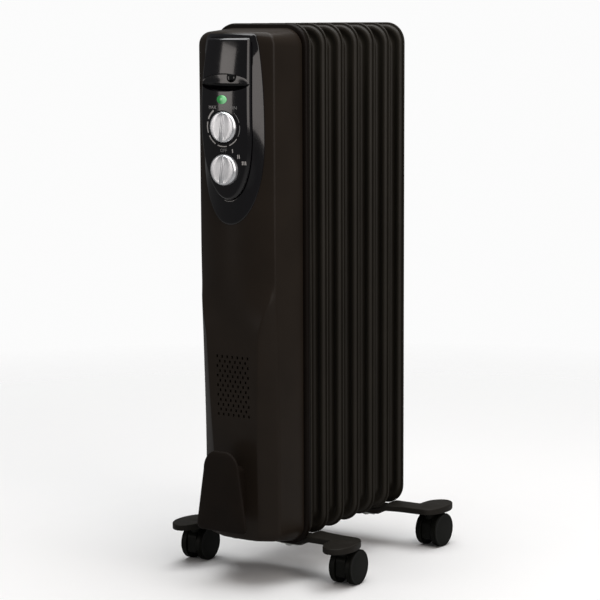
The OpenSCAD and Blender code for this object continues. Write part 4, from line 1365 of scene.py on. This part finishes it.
def make_floor():
    """A pale floor that fades out into the backdrop and throws less light up than the camera sees."""
    levels = []
    for k in range(FLOOR_RINGS):
        reach = FLOOR_R / MM * (k + 1) / FLOOR_RINGS
        levels.append([(reach * math.cos(a), reach * math.sin(a), 0) for a in turns(96)])
    shape = Shape()
    shape.loft(levels, cap_start=True, cap_end=False)
    mesh = shape.mesh("floor")
    floor = bpy.data.objects.new("floor", mesh)
    bpy.context.scene.collection.objects.link(floor)
    made = material("floor_paper", (0.9, 0.9, 0.895), 0.75, specular=0.2)
    add_bump(made, noise(made, 3, detail=3), 0.02)
    nodes, links = made.node_tree.nodes, made.node_tree.links
    rays = nodes.new("ShaderNodeLightPath")
    tone = add_node(made, "ShaderNodeMapRange", To_Min=FLOOR_BOUNCE, To_Max=FLOOR_TONE)
    links.new(rays.outputs["Is Camera Ray"], tone.inputs["Value"])
    links.new(tone.outputs["Result"], nodes["Principled BSDF"].inputs["Base Color"])
    place = nodes.new("ShaderNodeTexCoord")
    length = nodes.new("ShaderNodeVectorMath")
    length.operation = "LENGTH"
    fade = add_node(made, "ShaderNodeMapRange", From_Min=FADE_START, From_Max=FADE_END)
    clear = nodes.new("ShaderNodeBsdfTransparent")
    mix = nodes.new("ShaderNodeMixShader")
    links.new(place.outputs["Object"], length.inputs[0])
    links.new(length.outputs["Value"], fade.inputs["Value"])
    links.new(fade.outputs["Result"], mix.inputs["Fac"])
    links.new(nodes["Principled BSDF"].outputs["BSDF"], mix.inputs[1])
    links.new(clear.outputs["BSDF"], mix.inputs[2])
    links.new(mix.outputs["Shader"], nodes["Material Output"].inputs["Surface"])
    mesh.materials.append(made)


# ---- The whole heater ----

make_camera()
make_world()
make_lights()
make_floor()
bpy.context.scene.view_settings.view_transform = "Standard"

finish_cad_nodes()
for fin_number in range(1, FINS + 1):
    make_fin(fin_number)
make_end_caps()
make_frame()
make_cover()
make_surround()
make_fascia()
make_lens()
make_knob("dial_thermostat", "thermostat_knob", "thermostat_dial", DIAL_Z)
make_knob("dial_power", "power_knob", "power_dial", SWITCH_Z)
make_dial_ring()
make_switch_marks()
make_words()
make_wrap()
make_bar("foot_front", "front_foot_bar", FIRST_SEAM + PITCH / 2, 1)
make_bar("foot_rear", "rear_foot_bar", FIRST_SEAM + (FINS - 1.5) * PITCH, -1)
for caster_tag in ("fl", "fr", "rl", "rr"):
    make_hood(caster_tag)
    make_wheel(caster_tag, "left", -1)
    make_wheel(caster_tag, "right", 1)
